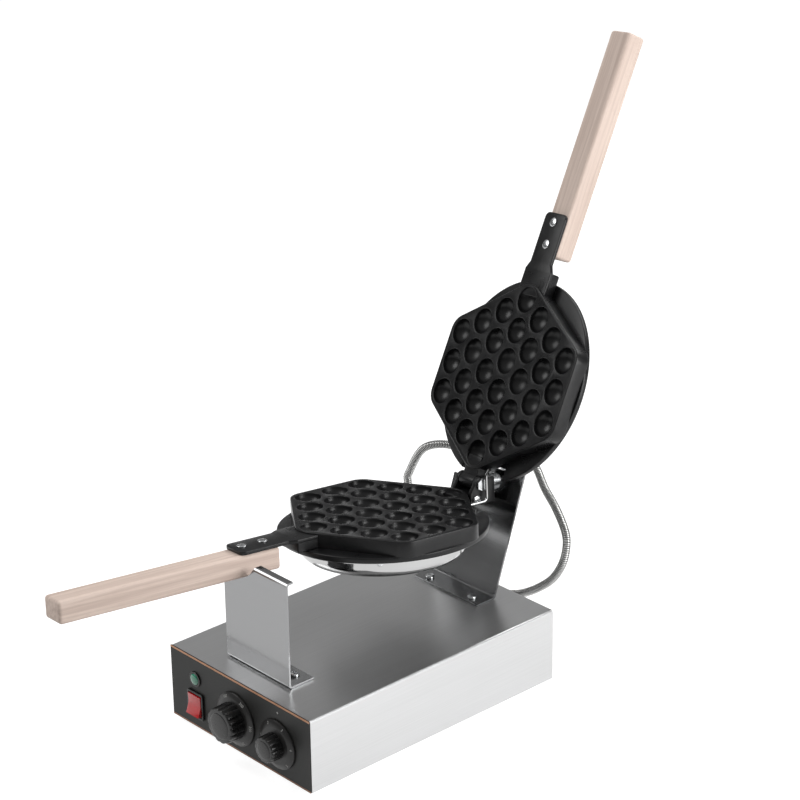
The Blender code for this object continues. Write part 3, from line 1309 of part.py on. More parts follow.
gland_turn = Matrix.Rotation(math.radians(-90), 4, "X")
upper_gland = at(UPPER_GLAND_X, BOX_REAR, GLAND_Z) @ gland_turn
lower_gland = at(LOWER_GLAND_X, BOX_REAR, GLAND_Z) @ gland_turn
place(hose_end(), "upper_gland", ZINC, box_frame, upper_gland, smooth=True)
place(hose_end(), "lower_gland", ZINC, box_frame, lower_gland, smooth=True)
hose("upper_hose", SET_MATRIX @ LID_MATRIX @ TO_LID @ upper_outlet, upper_gland, UPPER_HOSE_ROUTE)
through_grommet = tuple((PLATE_MATRIX @ at(GROMMET_X - BRACKET_X, 0, GROMMET_UP)).translation)
hose("lower_hose", SET_MATRIX @ lower_outlet, lower_gland, (through_grommet, *LOWER_HOSE_ROUTE))
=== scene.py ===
# %% [markdown]
# # A bubble waffle maker
#
# The machine is a steel box with a control panel, and two cast pans of round cells that hang
# between a cradle and a bracket. The pans close on each other and the closed pair is flipped,
# so that the batter runs into the cells of both. It is shown open, as it stands on a counter.
#
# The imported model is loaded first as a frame. Its plates, sheets and screws are exact but
# plain, so this lesson gives them finishes and sets finer pieces in their places.

# %% Load the frame
import json
import math

import bmesh
import bpy
from mathutils import Matrix, Vector


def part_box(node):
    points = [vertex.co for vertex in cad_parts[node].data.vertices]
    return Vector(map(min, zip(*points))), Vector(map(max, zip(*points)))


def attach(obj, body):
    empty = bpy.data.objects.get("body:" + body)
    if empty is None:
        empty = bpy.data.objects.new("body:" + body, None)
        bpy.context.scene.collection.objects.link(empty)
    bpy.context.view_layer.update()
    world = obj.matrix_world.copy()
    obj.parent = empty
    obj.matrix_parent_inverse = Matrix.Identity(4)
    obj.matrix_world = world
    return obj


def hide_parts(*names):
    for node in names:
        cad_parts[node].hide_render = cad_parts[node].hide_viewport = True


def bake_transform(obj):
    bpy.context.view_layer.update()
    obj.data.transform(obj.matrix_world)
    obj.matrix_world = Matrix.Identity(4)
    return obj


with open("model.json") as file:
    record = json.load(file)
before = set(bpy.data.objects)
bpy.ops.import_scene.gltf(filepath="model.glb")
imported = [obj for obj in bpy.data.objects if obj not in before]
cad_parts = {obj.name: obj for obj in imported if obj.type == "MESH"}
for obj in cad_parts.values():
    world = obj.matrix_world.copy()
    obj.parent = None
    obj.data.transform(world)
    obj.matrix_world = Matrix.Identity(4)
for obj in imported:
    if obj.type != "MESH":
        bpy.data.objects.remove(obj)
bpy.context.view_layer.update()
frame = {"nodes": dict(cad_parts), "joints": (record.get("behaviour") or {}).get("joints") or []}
joints = {joint["name"]: joint for joint in frame["joints"]}
nodes = frame["nodes"]
print("nodes", len(nodes))

# %% [markdown]
# ## Three sets of directions
#
# The pans sit a few degrees off the box, so each is easier to draw square to itself: U across,
# V towards the hinge and W up from the cooking face. The joints already hold those directions.
# The flip joint runs along V through the middle of the lower pan, the hinge along U, and W is
# square to both. The lid's matrix carries a shape drawn for the lower pan over to the open lid.

# %% Directions of the box, the pans and the lid
flip, hinge = joints["pan_flip"], joints["lid_hinge"]
ALONG_V = Vector(flip["axis"]).normalized()
ALONG_U = Vector(hinge["axis"]).normalized()
ALONG_W = ALONG_U.cross(ALONG_V).normalized()
ALONG_U = ALONG_V.cross(ALONG_W)
PAN_MIDDLE = Vector(flip["pos_m"])
TO_PANS = Matrix.Translation(PAN_MIDDLE) @ Matrix((ALONG_U, ALONG_V, ALONG_W)).transposed().to_4x4()
hinge_from_pan = TO_PANS.inverted() @ Vector(hinge["pos_m"])
HINGE_V, HINGE_W = hinge_from_pan.y, hinge_from_pan.z
LID_ANGLE = math.radians(max(hinge["range_deg"]))
TO_HINGE = TO_PANS @ Matrix.Translation((0, HINGE_V, HINGE_W))
TO_LID = (
    TO_HINGE
    @ Matrix.Rotation(-LID_ANGLE, 4, "X")
    @ Matrix.Translation((0, -HINGE_V, -HINGE_W))
    @ Matrix.Rotation(math.pi, 4, "Y")
)
plate_low, plate_high = (Vector(corner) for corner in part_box("faceplate"))
shell_high = Vector(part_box("case_shell")[1])
PANEL_Y = plate_low.y
BOX_BASE = plate_low.z
BOX_LEFT = plate_low.x
BOX_MIDDLE = Vector(((plate_low.x + plate_high.x) / 2, (plate_low.y + shell_high.y) / 2, 0))
print("hinge", round(HINGE_V, 4), round(HINGE_W, 4), "lid angle", round(math.degrees(LID_ANGLE), 1))

# %% [markdown]
# ## Small helpers
#
# Most metal pieces are either turned, folded, or cast in a flat outline. So a few helpers are
# enough: one spins a profile, one gives an outline a thickness with rounded edges, one lays a
# skin over rings of points, and one joins and cuts them with Booleans. All return a mesh, and
# `place` puts it on the object: it names the piece, gives it a finish and says which body it
# moves with.

# %% Turn, round and join
GAP = 0.0003            # between pieces that touch
OVERRUN = 0.002         # how far a cutter runs past what it cuts
MERGE = 0.00001         # welds the seams of a turned or capped shape
SMOOTH_ANGLE = math.radians(38)

TURN_X = Matrix.Rotation(math.radians(90), 4, "Y")           # +Z becomes +X
TURN_Y = Matrix.Rotation(math.radians(-90), 4, "X")          # +Z becomes +Y
FACING_FRONT = Matrix.Rotation(math.radians(90), 4, "X")     # +Z becomes -Y
SIDE_VIEW = Matrix(((0, 0, 1, 0), (1, 0, 0, 0), (0, 1, 0, 0), (0, 0, 0, 1)))


def at(x, y, z):
    return Matrix.Translation((x, y, z))


def mesh_of(obj):
    """A curve, or an object with modifiers, as a clean mesh."""
    bpy.context.scene.collection.objects.link(obj)
    bpy.context.view_layer.update()
    depsgraph = bpy.context.evaluated_depsgraph_get()
    mesh = bpy.data.meshes.new_from_object(obj.evaluated_get(depsgraph))
    bm = bmesh.new()
    bm.from_mesh(mesh)
    bmesh.ops.remove_doubles(bm, verts=bm.verts, dist=MERGE)
    bmesh.ops.recalc_face_normals(bm, faces=bm.faces)
    bm.to_mesh(mesh)
    bm.free()
    bpy.data.objects.remove(obj, do_unlink=True)
    return mesh


def turned(profile, steps, wall=0):
    """A profile of (radius, height) points, from the top down its outer side, turned about Z."""
    mesh = bpy.data.meshes.new("profile")
    edges = [(i, i + 1) for i in range(len(profile) - 1)]
    if not wall and (profile[0][0] > 0 or profile[-1][0] > 0):
        edges.append((len(profile) - 1, 0))
    mesh.from_pydata([(radius, 0, height) for radius, height in profile], edges, [])
    obj = bpy.data.objects.new("profile", mesh)
    screw = obj.modifiers.new("turn", "SCREW")
    screw.steps = screw.render_steps = steps
    screw.use_merge_vertices = True
    screw.merge_threshold = MERGE
    if wall:
        shell = obj.modifiers.new("wall", "SOLIDIFY")
        shell.thickness = wall
        shell.offset = 0
        shell.use_even_offset = True
    return mesh_of(obj)


def arc(centre, radius, start, end, steps):
    """Points along an arc, in degrees, both ends included."""
    points = []
    for i in range(steps + 1):
        angle = math.radians(start + (end - start) * i / steps)
        points.append((centre[0] + radius * math.cos(angle), centre[1] + radius * math.sin(angle)))
    return points


def rounded(points, radii, steps=8):
    """A closed outline with each corner rounded by its own radius."""
    out = []
    for i, point in enumerate(points):
        radius = radii[i] if isinstance(radii, (list, tuple)) else radii
        here = Vector(point)
        if radius == 0:
            out.append(tuple(here))
            continue
        to_last = (Vector(points[i - 1]) - here).normalized()
        to_next = (Vector(points[(i + 1) % len(points)]) - here).normalized()
        half = to_last.angle(to_next) / 2
        centre = here + (to_last + to_next).normalized() * (radius / math.sin(half))
        first = here + to_last * (radius / math.tan(half)) - centre
        last = here + to_next * (radius / math.tan(half)) - centre
        sweep = first.angle_signed(last)
        for k in range(steps + 1):
            out.append(tuple(centre + Matrix.Rotation(-sweep * k / steps, 2) @ first))
    return out


def rectangle(width, height, corner, steps=6):
    x, y = width / 2, height / 2
    return rounded([(-x, -y), (x, -y), (x, y), (-x, y)], corner, steps)


def dome(radius, rise, base=0, step=10):
    """A quarter round profile from the middle of a dome, at the top, down to its rim."""
    points = []
    for angle in range(0, 91, step):
        turn = math.radians(angle)
        points.append((radius * math.sin(turn), base + rise * math.cos(turn)))
    return points


def plate(outline, thickness, edge=0):
    """A flat outline as a plate centred on its own plane, with its edges rounded over."""
    curve = bpy.data.curves.new("outline", "CURVE")
    curve.dimensions = "2D"
    curve.fill_mode = "BOTH"
    curve.extrude = thickness / 2 - edge
    curve.bevel_depth = edge
    curve.bevel_resolution = 2
    curve.offset = -edge
    spline = curve.splines.new("POLY")
    spline.points.add(len(outline) - 1)
    for point, (x, y) in zip(spline.points, outline):
        point.co = (x, y, 0, 1)
    spline.use_cyclic_u = True
    return mesh_of(bpy.data.objects.new("outline", curve))


def skinned(rings):
    """A closed skin over rings of points, all of one count, with a cap at each end."""
    bm = bmesh.new()
    loops = [[bm.verts.new(point) for point in ring] for ring in rings]
    count = len(rings[0])
    for loop, after in zip(loops, loops[1:]):
        for k in range(count):
            m = (k + 1) % count
            bm.faces.new((loop[k], loop[m], after[m], after[k]))
    bm.faces.new(reversed(loops[0]))
    bm.faces.new(loops[-1])
    mesh = bpy.data.meshes.new("skin")
    bm.to_mesh(mesh)
    bm.free()
    return mesh


def block(size, edge=0, segments=3):
    """A box about the origin with rounded edges."""
    bm = bmesh.new()
    bmesh.ops.create_cube(bm, size=1)
    bmesh.ops.scale(bm, vec=size, verts=bm.verts)
    if edge:
        bmesh.ops.bevel(bm, geom=bm.edges[:], offset=edge, segments=segments, profile=0.5,
                        affect="EDGES")
    mesh = bpy.data.meshes.new("block")
    bm.to_mesh(mesh)
    bm.free()
    return mesh


def cylinder(radius, length, sides=48):
    bm = bmesh.new()
    bmesh.ops.create_cone(bm, cap_ends=True, segments=sides, radius1=radius, radius2=radius,
                          depth=length)
    mesh = bpy.data.meshes.new("cylinder")
    bm.to_mesh(mesh)
    bm.free()
    return mesh


def joined(mesh, add=(), cut=()):
    """A mesh with others joined to it and cut from it; each comes with its matrix."""
    obj = bpy.data.objects.new("joined", mesh)
    tools = []
    for operation, pieces in (("UNION", add), ("DIFFERENCE", cut)):
        for tool_mesh, matrix in pieces:
            tool = bpy.data.objects.new("tool", tool_mesh)
            bpy.context.scene.collection.objects.link(tool)
            tool.matrix_world = matrix
            tools.append(tool)
            mod = obj.modifiers.new("join", "BOOLEAN")
            mod.operation = operation
            mod.solver = "MANIFOLD"
            mod.object = tool
    result = mesh_of(obj)
    for tool in tools:
        bpy.data.objects.remove(tool, do_unlink=True)
    return result


def gathered(pieces):
    """Several meshes, each with its own matrix, as one mesh."""
    bm = bmesh.new()
    for mesh, matrix in pieces:
        known = len(bm.verts)
        bm.from_mesh(mesh)
        bm.verts.ensure_lookup_table()
        bmesh.ops.transform(bm, matrix=matrix, verts=bm.verts[known:])
    mesh = bpy.data.meshes.new("gathered")
    bm.to_mesh(mesh)
    bm.free()
    return mesh


def place(mesh, name, finish, body, matrix, replaces=()):
    """Put a mesh on the object: its finish, its body, and the plain nodes it stands for."""
    mesh.name = name
    mesh.materials.clear()
    mesh.materials.append(finish)
    mesh.shade_smooth()
    mesh.set_sharp_from_angle(angle=SMOOTH_ANGLE)
    piece = bpy.data.objects.new(name, mesh)
    bpy.context.scene.collection.objects.link(piece)
    piece.matrix_world = matrix
    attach(piece, body)
    if replaces:
        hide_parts(*replaces)


# %% [markdown]
# ## Effects that several finishes share
#
# Real sheet steel is brushed: fine lines run one way, some a little duller than others. Cast
# and moulded surfaces have a fine speckle instead, and everything that is handled is smeared
# in soft patches. Each effect is one node group with named sockets, used with its own values.

# %% Make a node group with named sockets
def new_group(name, inputs, outputs):
    """A shader group: inputs are (name, kind, value) and outputs (name, kind)."""
    tree = bpy.data.node_groups.new(name, "ShaderNodeTree")
    for socket_name, kind, value in inputs:
        socket = tree.interface.new_socket(socket_name, in_out="INPUT", socket_type=kind)
        socket.default_value = value
    for socket_name, kind in outputs:
        tree.interface.new_socket(socket_name, in_out="OUTPUT", socket_type=kind)
    return tree, tree.nodes.new("NodeGroupInput"), tree.nodes.new("NodeGroupOutput")


def linked(tree, kind, settings=None, **inputs):
    """Add a node, set its options, and connect or fill its inputs by name, or as _0 by number."""
    node = tree.nodes.new(kind)
    for key, value in (settings or {}).items():
        setattr(node, key, value)
    for key, value in inputs.items():
        by_number = key[0] == "_"
        socket = node.inputs[int(key[1:]) if by_number else key.replace("_", " ")]
        if isinstance(value, bpy.types.NodeSocket):
            tree.links.new(value, socket)
        else:
            socket.default_value = value
    return node


def put_out(tree, out, **sockets):
    for name, socket in sockets.items():
        tree.links.new(socket, out.inputs[name])


FLOAT, COLOUR, VECTOR = "NodeSocketFloat", "NodeSocketColor", "NodeSocketVector"


# %% Brushed lines, all running one way
PATCHES = 9.0            # duller and brighter patches, in noise cells a metre
BRUSH_DEPTH, SPECKLE_DEPTH, PORE_DEPTH = 0.0001, 0.0002, 0.0003


def brushed_group():
    tree, given, out = new_group(
        "brushed_lines",
        [("Colour", COLOUR, (0.6, 0.6, 0.6, 1)), ("Lines", VECTOR, (900, 6, 900)),
         ("Contrast", FLOAT, 0.1), ("Roughness", FLOAT, 0.3), ("Spread", FLOAT, 0.08),
         ("Depth", FLOAT, 0.1)],
        [("Colour", COLOUR), ("Roughness", FLOAT), ("Normal", VECTOR)],
    )
    place_in = linked(tree, "ShaderNodeTexCoord")
    stretch = linked(tree, "ShaderNodeVectorMath", {"operation": "MULTIPLY"},
                     _0=place_in.outputs["Object"], _1=given.outputs["Lines"])
    lines = linked(tree, "ShaderNodeTexNoise", Vector=stretch.outputs[0], Scale=1.0, Detail=3.0,
                   Roughness=0.6)
    patches = linked(tree, "ShaderNodeTexNoise", Vector=place_in.outputs["Object"], Scale=PATCHES,
                     Detail=2.0, Roughness=0.5)
    shade = linked(tree, "ShaderNodeMath", {"operation": "SUBTRACT"}, _0=lines.outputs[0], _1=0.5)
    scaled = linked(tree, "ShaderNodeMath", {"operation": "MULTIPLY_ADD"},
                    _0=shade.outputs[0], _1=given.outputs["Contrast"], _2=1.0)
    tinted = linked(tree, "ShaderNodeVectorMath", {"operation": "SCALE"},
                    _0=given.outputs["Colour"], Scale=scaled.outputs[0])
    both = linked(tree, "ShaderNodeMath", {"operation": "ADD"},
                  _0=lines.outputs[0], _1=patches.outputs[0])
    centred = linked(tree, "ShaderNodeMath", {"operation": "SUBTRACT"}, _0=both.outputs[0], _1=1.0)
    rough = linked(tree, "ShaderNodeMath", {"operation": "MULTIPLY_ADD", "use_clamp": True},
                   _0=centred.outputs[0], _1=given.outputs["Spread"], _2=given.outputs["Roughness"])
    bump = linked(tree, "ShaderNodeBump", Strength=given.outputs["Depth"], Distance=BRUSH_DEPTH,
                  Height=lines.outputs[0])
    put_out(tree, out, Colour=tinted.outputs[0], Roughness=rough.outputs[0],
            Normal=bump.outputs[0])
    return tree


# %% Fine speckle with soft handling marks
def speckle_group():
    tree, given, out = new_group(
        "speckle_and_marks",
        [("Colour", COLOUR, (0.02, 0.02, 0.02, 1)), ("Second Colour", COLOUR, (0.05, 0.05, 0.05, 1)),
         ("Grain", FLOAT, 1500.0), ("Marks", FLOAT, 18.0), ("Roughness", FLOAT, 0.4),
         ("Spread", FLOAT, 0.1), ("Depth", FLOAT, 0.1)],
        [("Colour", COLOUR), ("Roughness", FLOAT), ("Normal", VECTOR)],
    )
    place_in = linked(tree, "ShaderNodeTexCoord")
    grain = linked(tree, "ShaderNodeTexNoise", Vector=place_in.outputs["Object"],
                   Scale=given.outputs["Grain"], Detail=2.0, Roughness=0.6)
    marks = linked(tree, "ShaderNodeTexNoise", Vector=place_in.outputs["Object"],
                   Scale=given.outputs["Marks"], Detail=4.0, Roughness=0.55)
    mask = linked(tree, "ShaderNodeMapRange", {"interpolation_type": "SMOOTHSTEP"},
                  Value=marks.outputs[0], From_Min=0.35, From_Max=0.75)
    colour = linked(tree, "ShaderNodeMix", {"data_type": "RGBA"}, Factor=mask.outputs[0],
                    _6=given.outputs["Colour"], _7=given.outputs["Second Colour"])
    centred = linked(tree, "ShaderNodeMath", {"operation": "SUBTRACT"}, _0=mask.outputs[0], _1=0.5)
    rough = linked(tree, "ShaderNodeMath", {"operation": "MULTIPLY_ADD", "use_clamp": True},
                   _0=centred.outputs[0], _1=given.outputs["Spread"], _2=given.outputs["Roughness"])
    bump = linked(tree, "ShaderNodeBump", Strength=given.outputs["Depth"], Distance=SPECKLE_DEPTH,
                  Height=grain.outputs[0])
    put_out(tree, out, Colour=colour.outputs[2], Roughness=rough.outputs[0],
            Normal=bump.outputs[0])
    return tree


# %% Straight wood grain along Y
STREAKS_PER_M = (210, 5, 210)
PORES_PER_M = (1600, 90, 1600)
WOOD_SPREAD = 0.15


def grain_group():
    tree, given, out = new_group(
        "straight_grain",
        [("Colour", COLOUR, (0.8, 0.6, 0.5, 1)), ("Dark Colour", COLOUR, (0.6, 0.4, 0.3, 1)),
         ("Streaks", FLOAT, 1.0), ("Roughness", FLOAT, 0.55), ("Depth", FLOAT, 0.15)],
        [("Colour", COLOUR), ("Roughness", FLOAT), ("Normal", VECTOR)],
    )
    place_in = linked(tree, "ShaderNodeTexCoord")
    stretch = linked(tree, "ShaderNodeVectorMath", {"operation": "MULTIPLY"},
                     _0=place_in.outputs["Object"], _1=STREAKS_PER_M)
    streaks = linked(tree, "ShaderNodeTexNoise", Vector=stretch.outputs[0], Scale=1.0,
                     Detail=5.0, Roughness=0.62, Distortion=0.4)
    pores_at = linked(tree, "ShaderNodeVectorMath", {"operation": "MULTIPLY"},
                      _0=place_in.outputs["Object"], _1=PORES_PER_M)
    pores = linked(tree, "ShaderNodeTexNoise", Vector=pores_at.outputs[0], Scale=1.0, Detail=1.0)
    pore_mask = linked(tree, "ShaderNodeMapRange", {"interpolation_type": "SMOOTHSTEP"},
                       Value=pores.outputs[0], From_Min=0.60, From_Max=0.72, To_Max=0.5)
    streak_mask = linked(tree, "ShaderNodeMapRange", {"interpolation_type": "SMOOTHSTEP"},
                         Value=streaks.outputs[0], From_Min=0.30, From_Max=0.75,
                         To_Max=given.outputs["Streaks"])
    both = linked(tree, "ShaderNodeMath", {"operation": "MAXIMUM"},
                  _0=pore_mask.outputs[0], _1=streak_mask.outputs[0])
    colour = linked(tree, "ShaderNodeMix", {"data_type": "RGBA"}, Factor=both.outputs[0],
                    _6=given.outputs["Colour"], _7=given.outputs["Dark Colour"])
    rough = linked(tree, "ShaderNodeMath", {"operation": "MULTIPLY_ADD", "use_clamp": True},
                   _0=both.outputs[0], _1=WOOD_SPREAD, _2=given.outputs["Roughness"])
    bump = linked(tree, "ShaderNodeBump", Strength=given.outputs["Depth"], Distance=PORE_DEPTH,
                  Height=both.outputs[0])
    put_out(tree, out, Colour=colour.outputs[2], Roughness=rough.outputs[0],
            Normal=bump.outputs[0])
    return tree


BRUSHED, SPECKLE, GRAIN = brushed_group(), speckle_group(), grain_group()
print("groups", BRUSHED.name, SPECKLE.name, GRAIN.name)

# %% [markdown]
# ## Finishes
#
# Each finish is one Principled BSDF fed by one of the groups. Values that are the same all
# over, such as how metallic it is, stay on the shader itself. The sheet steel is brushed along
# the box, the covers are polished, the pans have a black non-stick coat with a low sheen, and
# the handles are pale sanded wood. Black plastic and paint get a low specular level, because
# the white floor would otherwise turn them grey.

# %% Make the finishes
def finish(name, slot, group, metallic=0.0, shader=None, **values):
    """A material whose colour, roughness and normal come from one of the groups."""
    mat = bpy.data.materials.new(name)
    mat.use_nodes = True
    mat["slot"] = slot
    tree = mat.node_tree
    surface = tree.nodes["Principled BSDF"]
    effect = tree.nodes.new("ShaderNodeGroup")
    effect.node_tree = group
    for key, value in values.items():
        effect.inputs[key.replace("_", " ")].default_value = value
    tree.links.new(effect.outputs["Colour"], surface.inputs["Base Color"])
    tree.links.new(effect.outputs["Roughness"], surface.inputs["Roughness"])
    tree.links.new(effect.outputs["Normal"], surface.inputs["Normal"])
    surface.inputs["Metallic"].default_value = metallic
    for key, value in (shader or {}).items():
        surface.inputs[key].default_value = value
    return mat


SHEET = finish("brushed_sheet", "stainless", BRUSHED, 1.0, Colour=(0.60, 0.602, 0.605, 1),
               Lines=(1400, 7, 1400), Contrast=0.22, Roughness=0.33, Spread=0.16, Depth=0.12)
# The stands' darker colour is a painted reflection of the black pans on the same steel.
STAND_PAINTED_REFLECTION = finish("stand_sheet_painted_reflection", "stainless", BRUSHED, 1.0, Colour=(0.27, 0.272, 0.275, 1),
               Lines=(9, 1600, 1600), Contrast=0.10, Roughness=0.17, Spread=0.08, Depth=0.04)
POLISHED = finish("polished_steel", "polished_steel", BRUSHED, 1.0, Colour=(0.46, 0.46, 0.46, 1),
                  Lines=(60, 60, 60), Contrast=0.05, Roughness=0.08, Spread=0.06, Depth=0.01)
ZINC = finish("bright_zinc", "zinc_screw", SPECKLE, 1.0, Colour=(0.66, 0.67, 0.68, 1),
              Second_Colour=(0.52, 0.53, 0.54, 1), Grain=2500.0, Marks=160.0, Roughness=0.24,
              Spread=0.15, Depth=0.05)
CAST = finish("non_stick_cast", "black_cast", SPECKLE, Colour=(0.0075, 0.0075, 0.008, 1),
              Second_Colour=(0.012, 0.012, 0.0125, 1), Grain=1700.0, Marks=24.0, Roughness=0.34,
              Spread=0.14, Depth=0.22, shader={"Specular IOR Level": 0.28})
BLACK = finish("black_moulding", "black_plastic", SPECKLE, Colour=(0.006, 0.006, 0.006, 1),
               Second_Colour=(0.011, 0.011, 0.011, 1), Grain=2600.0, Marks=60.0, Roughness=0.28,
               Spread=0.12, Depth=0.10, shader={"Specular IOR Level": 0.4})
DIAL = finish("grey_dial", "black_plastic", SPECKLE, Colour=(0.015, 0.0145, 0.014, 1),
              Second_Colour=(0.024, 0.0235, 0.023, 1), Grain=2600.0, Marks=40.0, Roughness=0.40,
              Spread=0.10, Depth=0.10, shader={"Specular IOR Level": 0.35})
PAINT = finish("panel_paint", "panel_face", SPECKLE, Colour=(0.012, 0.0125, 0.0115, 1),
               Second_Colour=(0.019, 0.019, 0.018, 1), Grain=1900.0, Marks=14.0, Roughness=0.46,
               Spread=0.10, Depth=0.06, shader={"Specular IOR Level": 0.24})
COPPER = finish("copper_line", "panel_face", SPECKLE, Colour=(0.62, 0.30, 0.15, 1),
                Second_Colour=(0.50, 0.23, 0.11, 1), Grain=1900.0, Marks=60.0, Roughness=0.40,
                Spread=0.10, Depth=0.02)
BROWN = finish("brown_line", "panel_face", SPECKLE, Colour=(0.34, 0.155, 0.075, 1),
               Second_Colour=(0.22, 0.095, 0.05, 1), Grain=1900.0, Marks=60.0, Roughness=0.42,
               Spread=0.10, Depth=0.02)
PRINT = finish("pale_print", "panel_face", SPECKLE, Colour=(0.52, 0.52, 0.50, 1),
               Second_Colour=(0.36, 0.36, 0.35, 1), Grain=1900.0, Marks=200.0, Roughness=0.5,
               Spread=0.05, Depth=0.0)
WOOD = finish("pale_beech", "pale_wood", GRAIN, Colour=(0.79, 0.645, 0.56, 1),
              Dark_Colour=(0.52, 0.395, 0.335, 1), Streaks=0.75, Roughness=0.6, Depth=0.25)
RUBBER = finish("black_rubber", "rubber", SPECKLE, Colour=(0.020, 0.020, 0.020, 1),
                Second_Colour=(0.035, 0.035, 0.034, 1), Grain=1500.0, Marks=50.0, Roughness=0.75,
                Spread=0.15, Depth=0.15)
RED = finish("red_rocker", "red_plastic", SPECKLE, Colour=(0.66, 0.012, 0.016, 1),
             Second_Colour=(0.56, 0.010, 0.012, 1), Grain=2000.0, Marks=70.0, Roughness=0.20,
             Spread=0.08, Depth=0.03, shader={"Coat Weight": 0.3, "Coat Roughness": 0.1})
GREEN = finish("green_lens", "green_lens", SPECKLE, Colour=(0.008, 0.21, 0.115, 1),
               Second_Colour=(0.014, 0.30, 0.17, 1), Grain=2000.0, Marks=120.0, Roughness=0.14,
               Spread=0.06, Depth=0.02, shader={"Coat Weight": 0.5, "Coat Roughness": 0.05})
SHEATH = finish("element_sheath", "element_sheath", SPECKLE, 1.0, Colour=(0.27, 0.25, 0.24, 1),
                Second_Colour=(0.20, 0.19, 0.20, 1), Grain=1800.0, Marks=60.0, Roughness=0.45,
                Spread=0.15, Depth=0.1)
MOULDED = finish("pale_moulding", "moulded_block", SPECKLE, Colour=(0.70, 0.68, 0.60, 1),
                 Second_Colour=(0.64, 0.61, 0.53, 1), Grain=2200.0, Marks=50.0, Roughness=0.5,
                 Spread=0.1, Depth=0.05)
print("finishes", len(bpy.data.materials))

# %% [markdown]
# ## Folded sheet and hidden pieces
#
# The case, its panels and the two stands are folded sheet with the right bends already, so
# those nodes stay and only take a finish. The same goes for what is inside the box. The box is
# brushed along its length. The stands are smoother, and their colour is painted darker, a
# painted reflection of the black pans.

# %% Give the kept nodes their finishes
KEPT_NODES = {
    "case_shell": SHEET, "bottom_plate": SHEET, "front_panel": SHEET, "rear_panel": SHEET,
    "cradle": STAND_PAINTED_REFLECTION, "rear_bracket": STAND_PAINTED_REFLECTION, "faceplate": PAINT, "mains_inlet": BLACK,
    "terminal_block": MOULDED, "thermostat_body": MOULDED, "timer_body": MOULDED,
    "thermostat_spindle": ZINC, "timer_spindle": ZINC, "axle_nut": ZINC, "pin_nut": ZINC,
    "thrust_washer": ZINC, "swivel_axle": ZINC, "upper_element": SHEATH, "lower_element": SHEATH,
    "upper_clamp": ZINC, "lower_clamp": ZINC,
}
for node_name, node_finish in KEPT_NODES.items():
    node = nodes[node_name]
    node.data.materials.clear()
    node.data.materials.append(node_finish)
print("kept nodes", len(KEPT_NODES))

# %% [markdown]
# ## The camera
#
# The camera stands in front of the box and to its right, well above it, and looks down by
# about 23 degrees with a long lens.

# %% Set up the camera
CAMERA_AT = Vector((1.8046, -1.5909, 1.3455))
CAMERA_DOWN = math.radians(23.07)
CAMERA_TURN = math.radians(47.94)
CAMERA_ROLL = math.radians(-0.79)
CAMERA_LENS = 118.08

forward = Vector((
    -math.sin(CAMERA_TURN) * math.cos(CAMERA_DOWN),
    math.cos(CAMERA_TURN) * math.cos(CAMERA_DOWN),
    -math.sin(CAMERA_DOWN),
))
level_right = Vector((math.cos(CAMERA_TURN), math.sin(CAMERA_TURN), 0))
level_up = level_right.cross(forward)
right = level_right * math.cos(CAMERA_ROLL) + level_up * math.sin(CAMERA_ROLL)
up = level_up * math.cos(CAMERA_ROLL) - level_right * math.sin(CAMERA_ROLL)
camera_data = bpy.data.cameras.new("camera")
camera_data.lens = CAMERA_LENS
camera = bpy.data.objects.new("camera", camera_data)
bpy.context.scene.collection.objects.link(camera)
camera.matrix_world = (
    Matrix.Translation(CAMERA_AT) @ Matrix((right, up, -forward)).transposed().to_4x4()
)
bpy.context.scene.camera = camera
print("camera", [round(v, 3) for v in camera.location])

# %% [markdown]
# ## Where the covers and the hose ends sit
#
# Two hoses carry the heater wires from the box to the pans. Each starts and ends in a flanged
# sleeve: two on the rear panel, one on the wall of the lower cover and one on the face of the
# upper cover. Their places follow from the cover's size, so that comes first.

# %% Sizes of the covers and the hose ends
RIM_TOP, RIM_T = 0.0160, 0.0060
RIM_BASE = RIM_TOP + RIM_T
COVER_R, COVER_T, COVER_DEPTH = 0.0860, 0.0010, 0.0265
COVER_TOP = RIM_BASE + GAP + COVER_T / 2
HOSE_R, HOSE_VALLEY_R = 0.0046, 0.0038
FERRULE_FLANGE_R, FERRULE_FLANGE_T = 0.0085, 0.0015
FERRULE_R, FERRULE_L = 0.0062, 0.0090
FERRULE_SHANK_R, FERRULE_SHANK_L = 0.0048, 0.0040
LOWER_OUTLET_ANGLE = math.radians(107)
LOWER_OUTLET_DROP = 0.0112
UPPER_OUTLET_U, UPPER_OUTLET_V = 0.0200, 0.0580
DOME_SHARE = 0.04        # of the depth, that the cover's face rises from its edge to its middle
FACE_SHARE = 0.72        # of the radius, where the rounded corner meets that face


def cover_fall(radius):
    """How deep the middle of the cover's wall lies under the flange, on its face."""
    return COVER_DEPTH * (1 - DOME_SHARE * (radius / (COVER_R * FACE_SHARE)) ** 2)


outlet_r = math.hypot(UPPER_OUTLET_U, UPPER_OUTLET_V)
upper_seat_w = COVER_TOP + cover_fall(outlet_r - FERRULE_FLANGE_R) + COVER_T / 2
LOWER_OUTLET = (
    TO_PANS @ Matrix.Rotation(LOWER_OUTLET_ANGLE, 4, "Z")
    @ at(COVER_R + COVER_T / 2, 0, -RIM_BASE - LOWER_OUTLET_DROP) @ TURN_X
)
UPPER_OUTLET = (
    TO_LID @ at(UPPER_OUTLET_U, UPPER_OUTLET_V, -upper_seat_w) @ Matrix.Rotation(math.pi, 4, "X")
)


def gland_matrix(node):
    """A gland faces back from the rear panel; its flange starts just off the sheet."""
    low, high = (Vector(corner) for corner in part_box(node))
    middle = (low + high) / 2
    face_y = high.y - GAP - FERRULE_L
    return at(middle.x, face_y, middle.z) @ TURN_Y


UPPER_GLAND, LOWER_GLAND = gland_matrix("upper_gland"), gland_matrix("lower_gland")
print("upper outlet", [round(v, 4) for v in UPPER_OUTLET.translation])
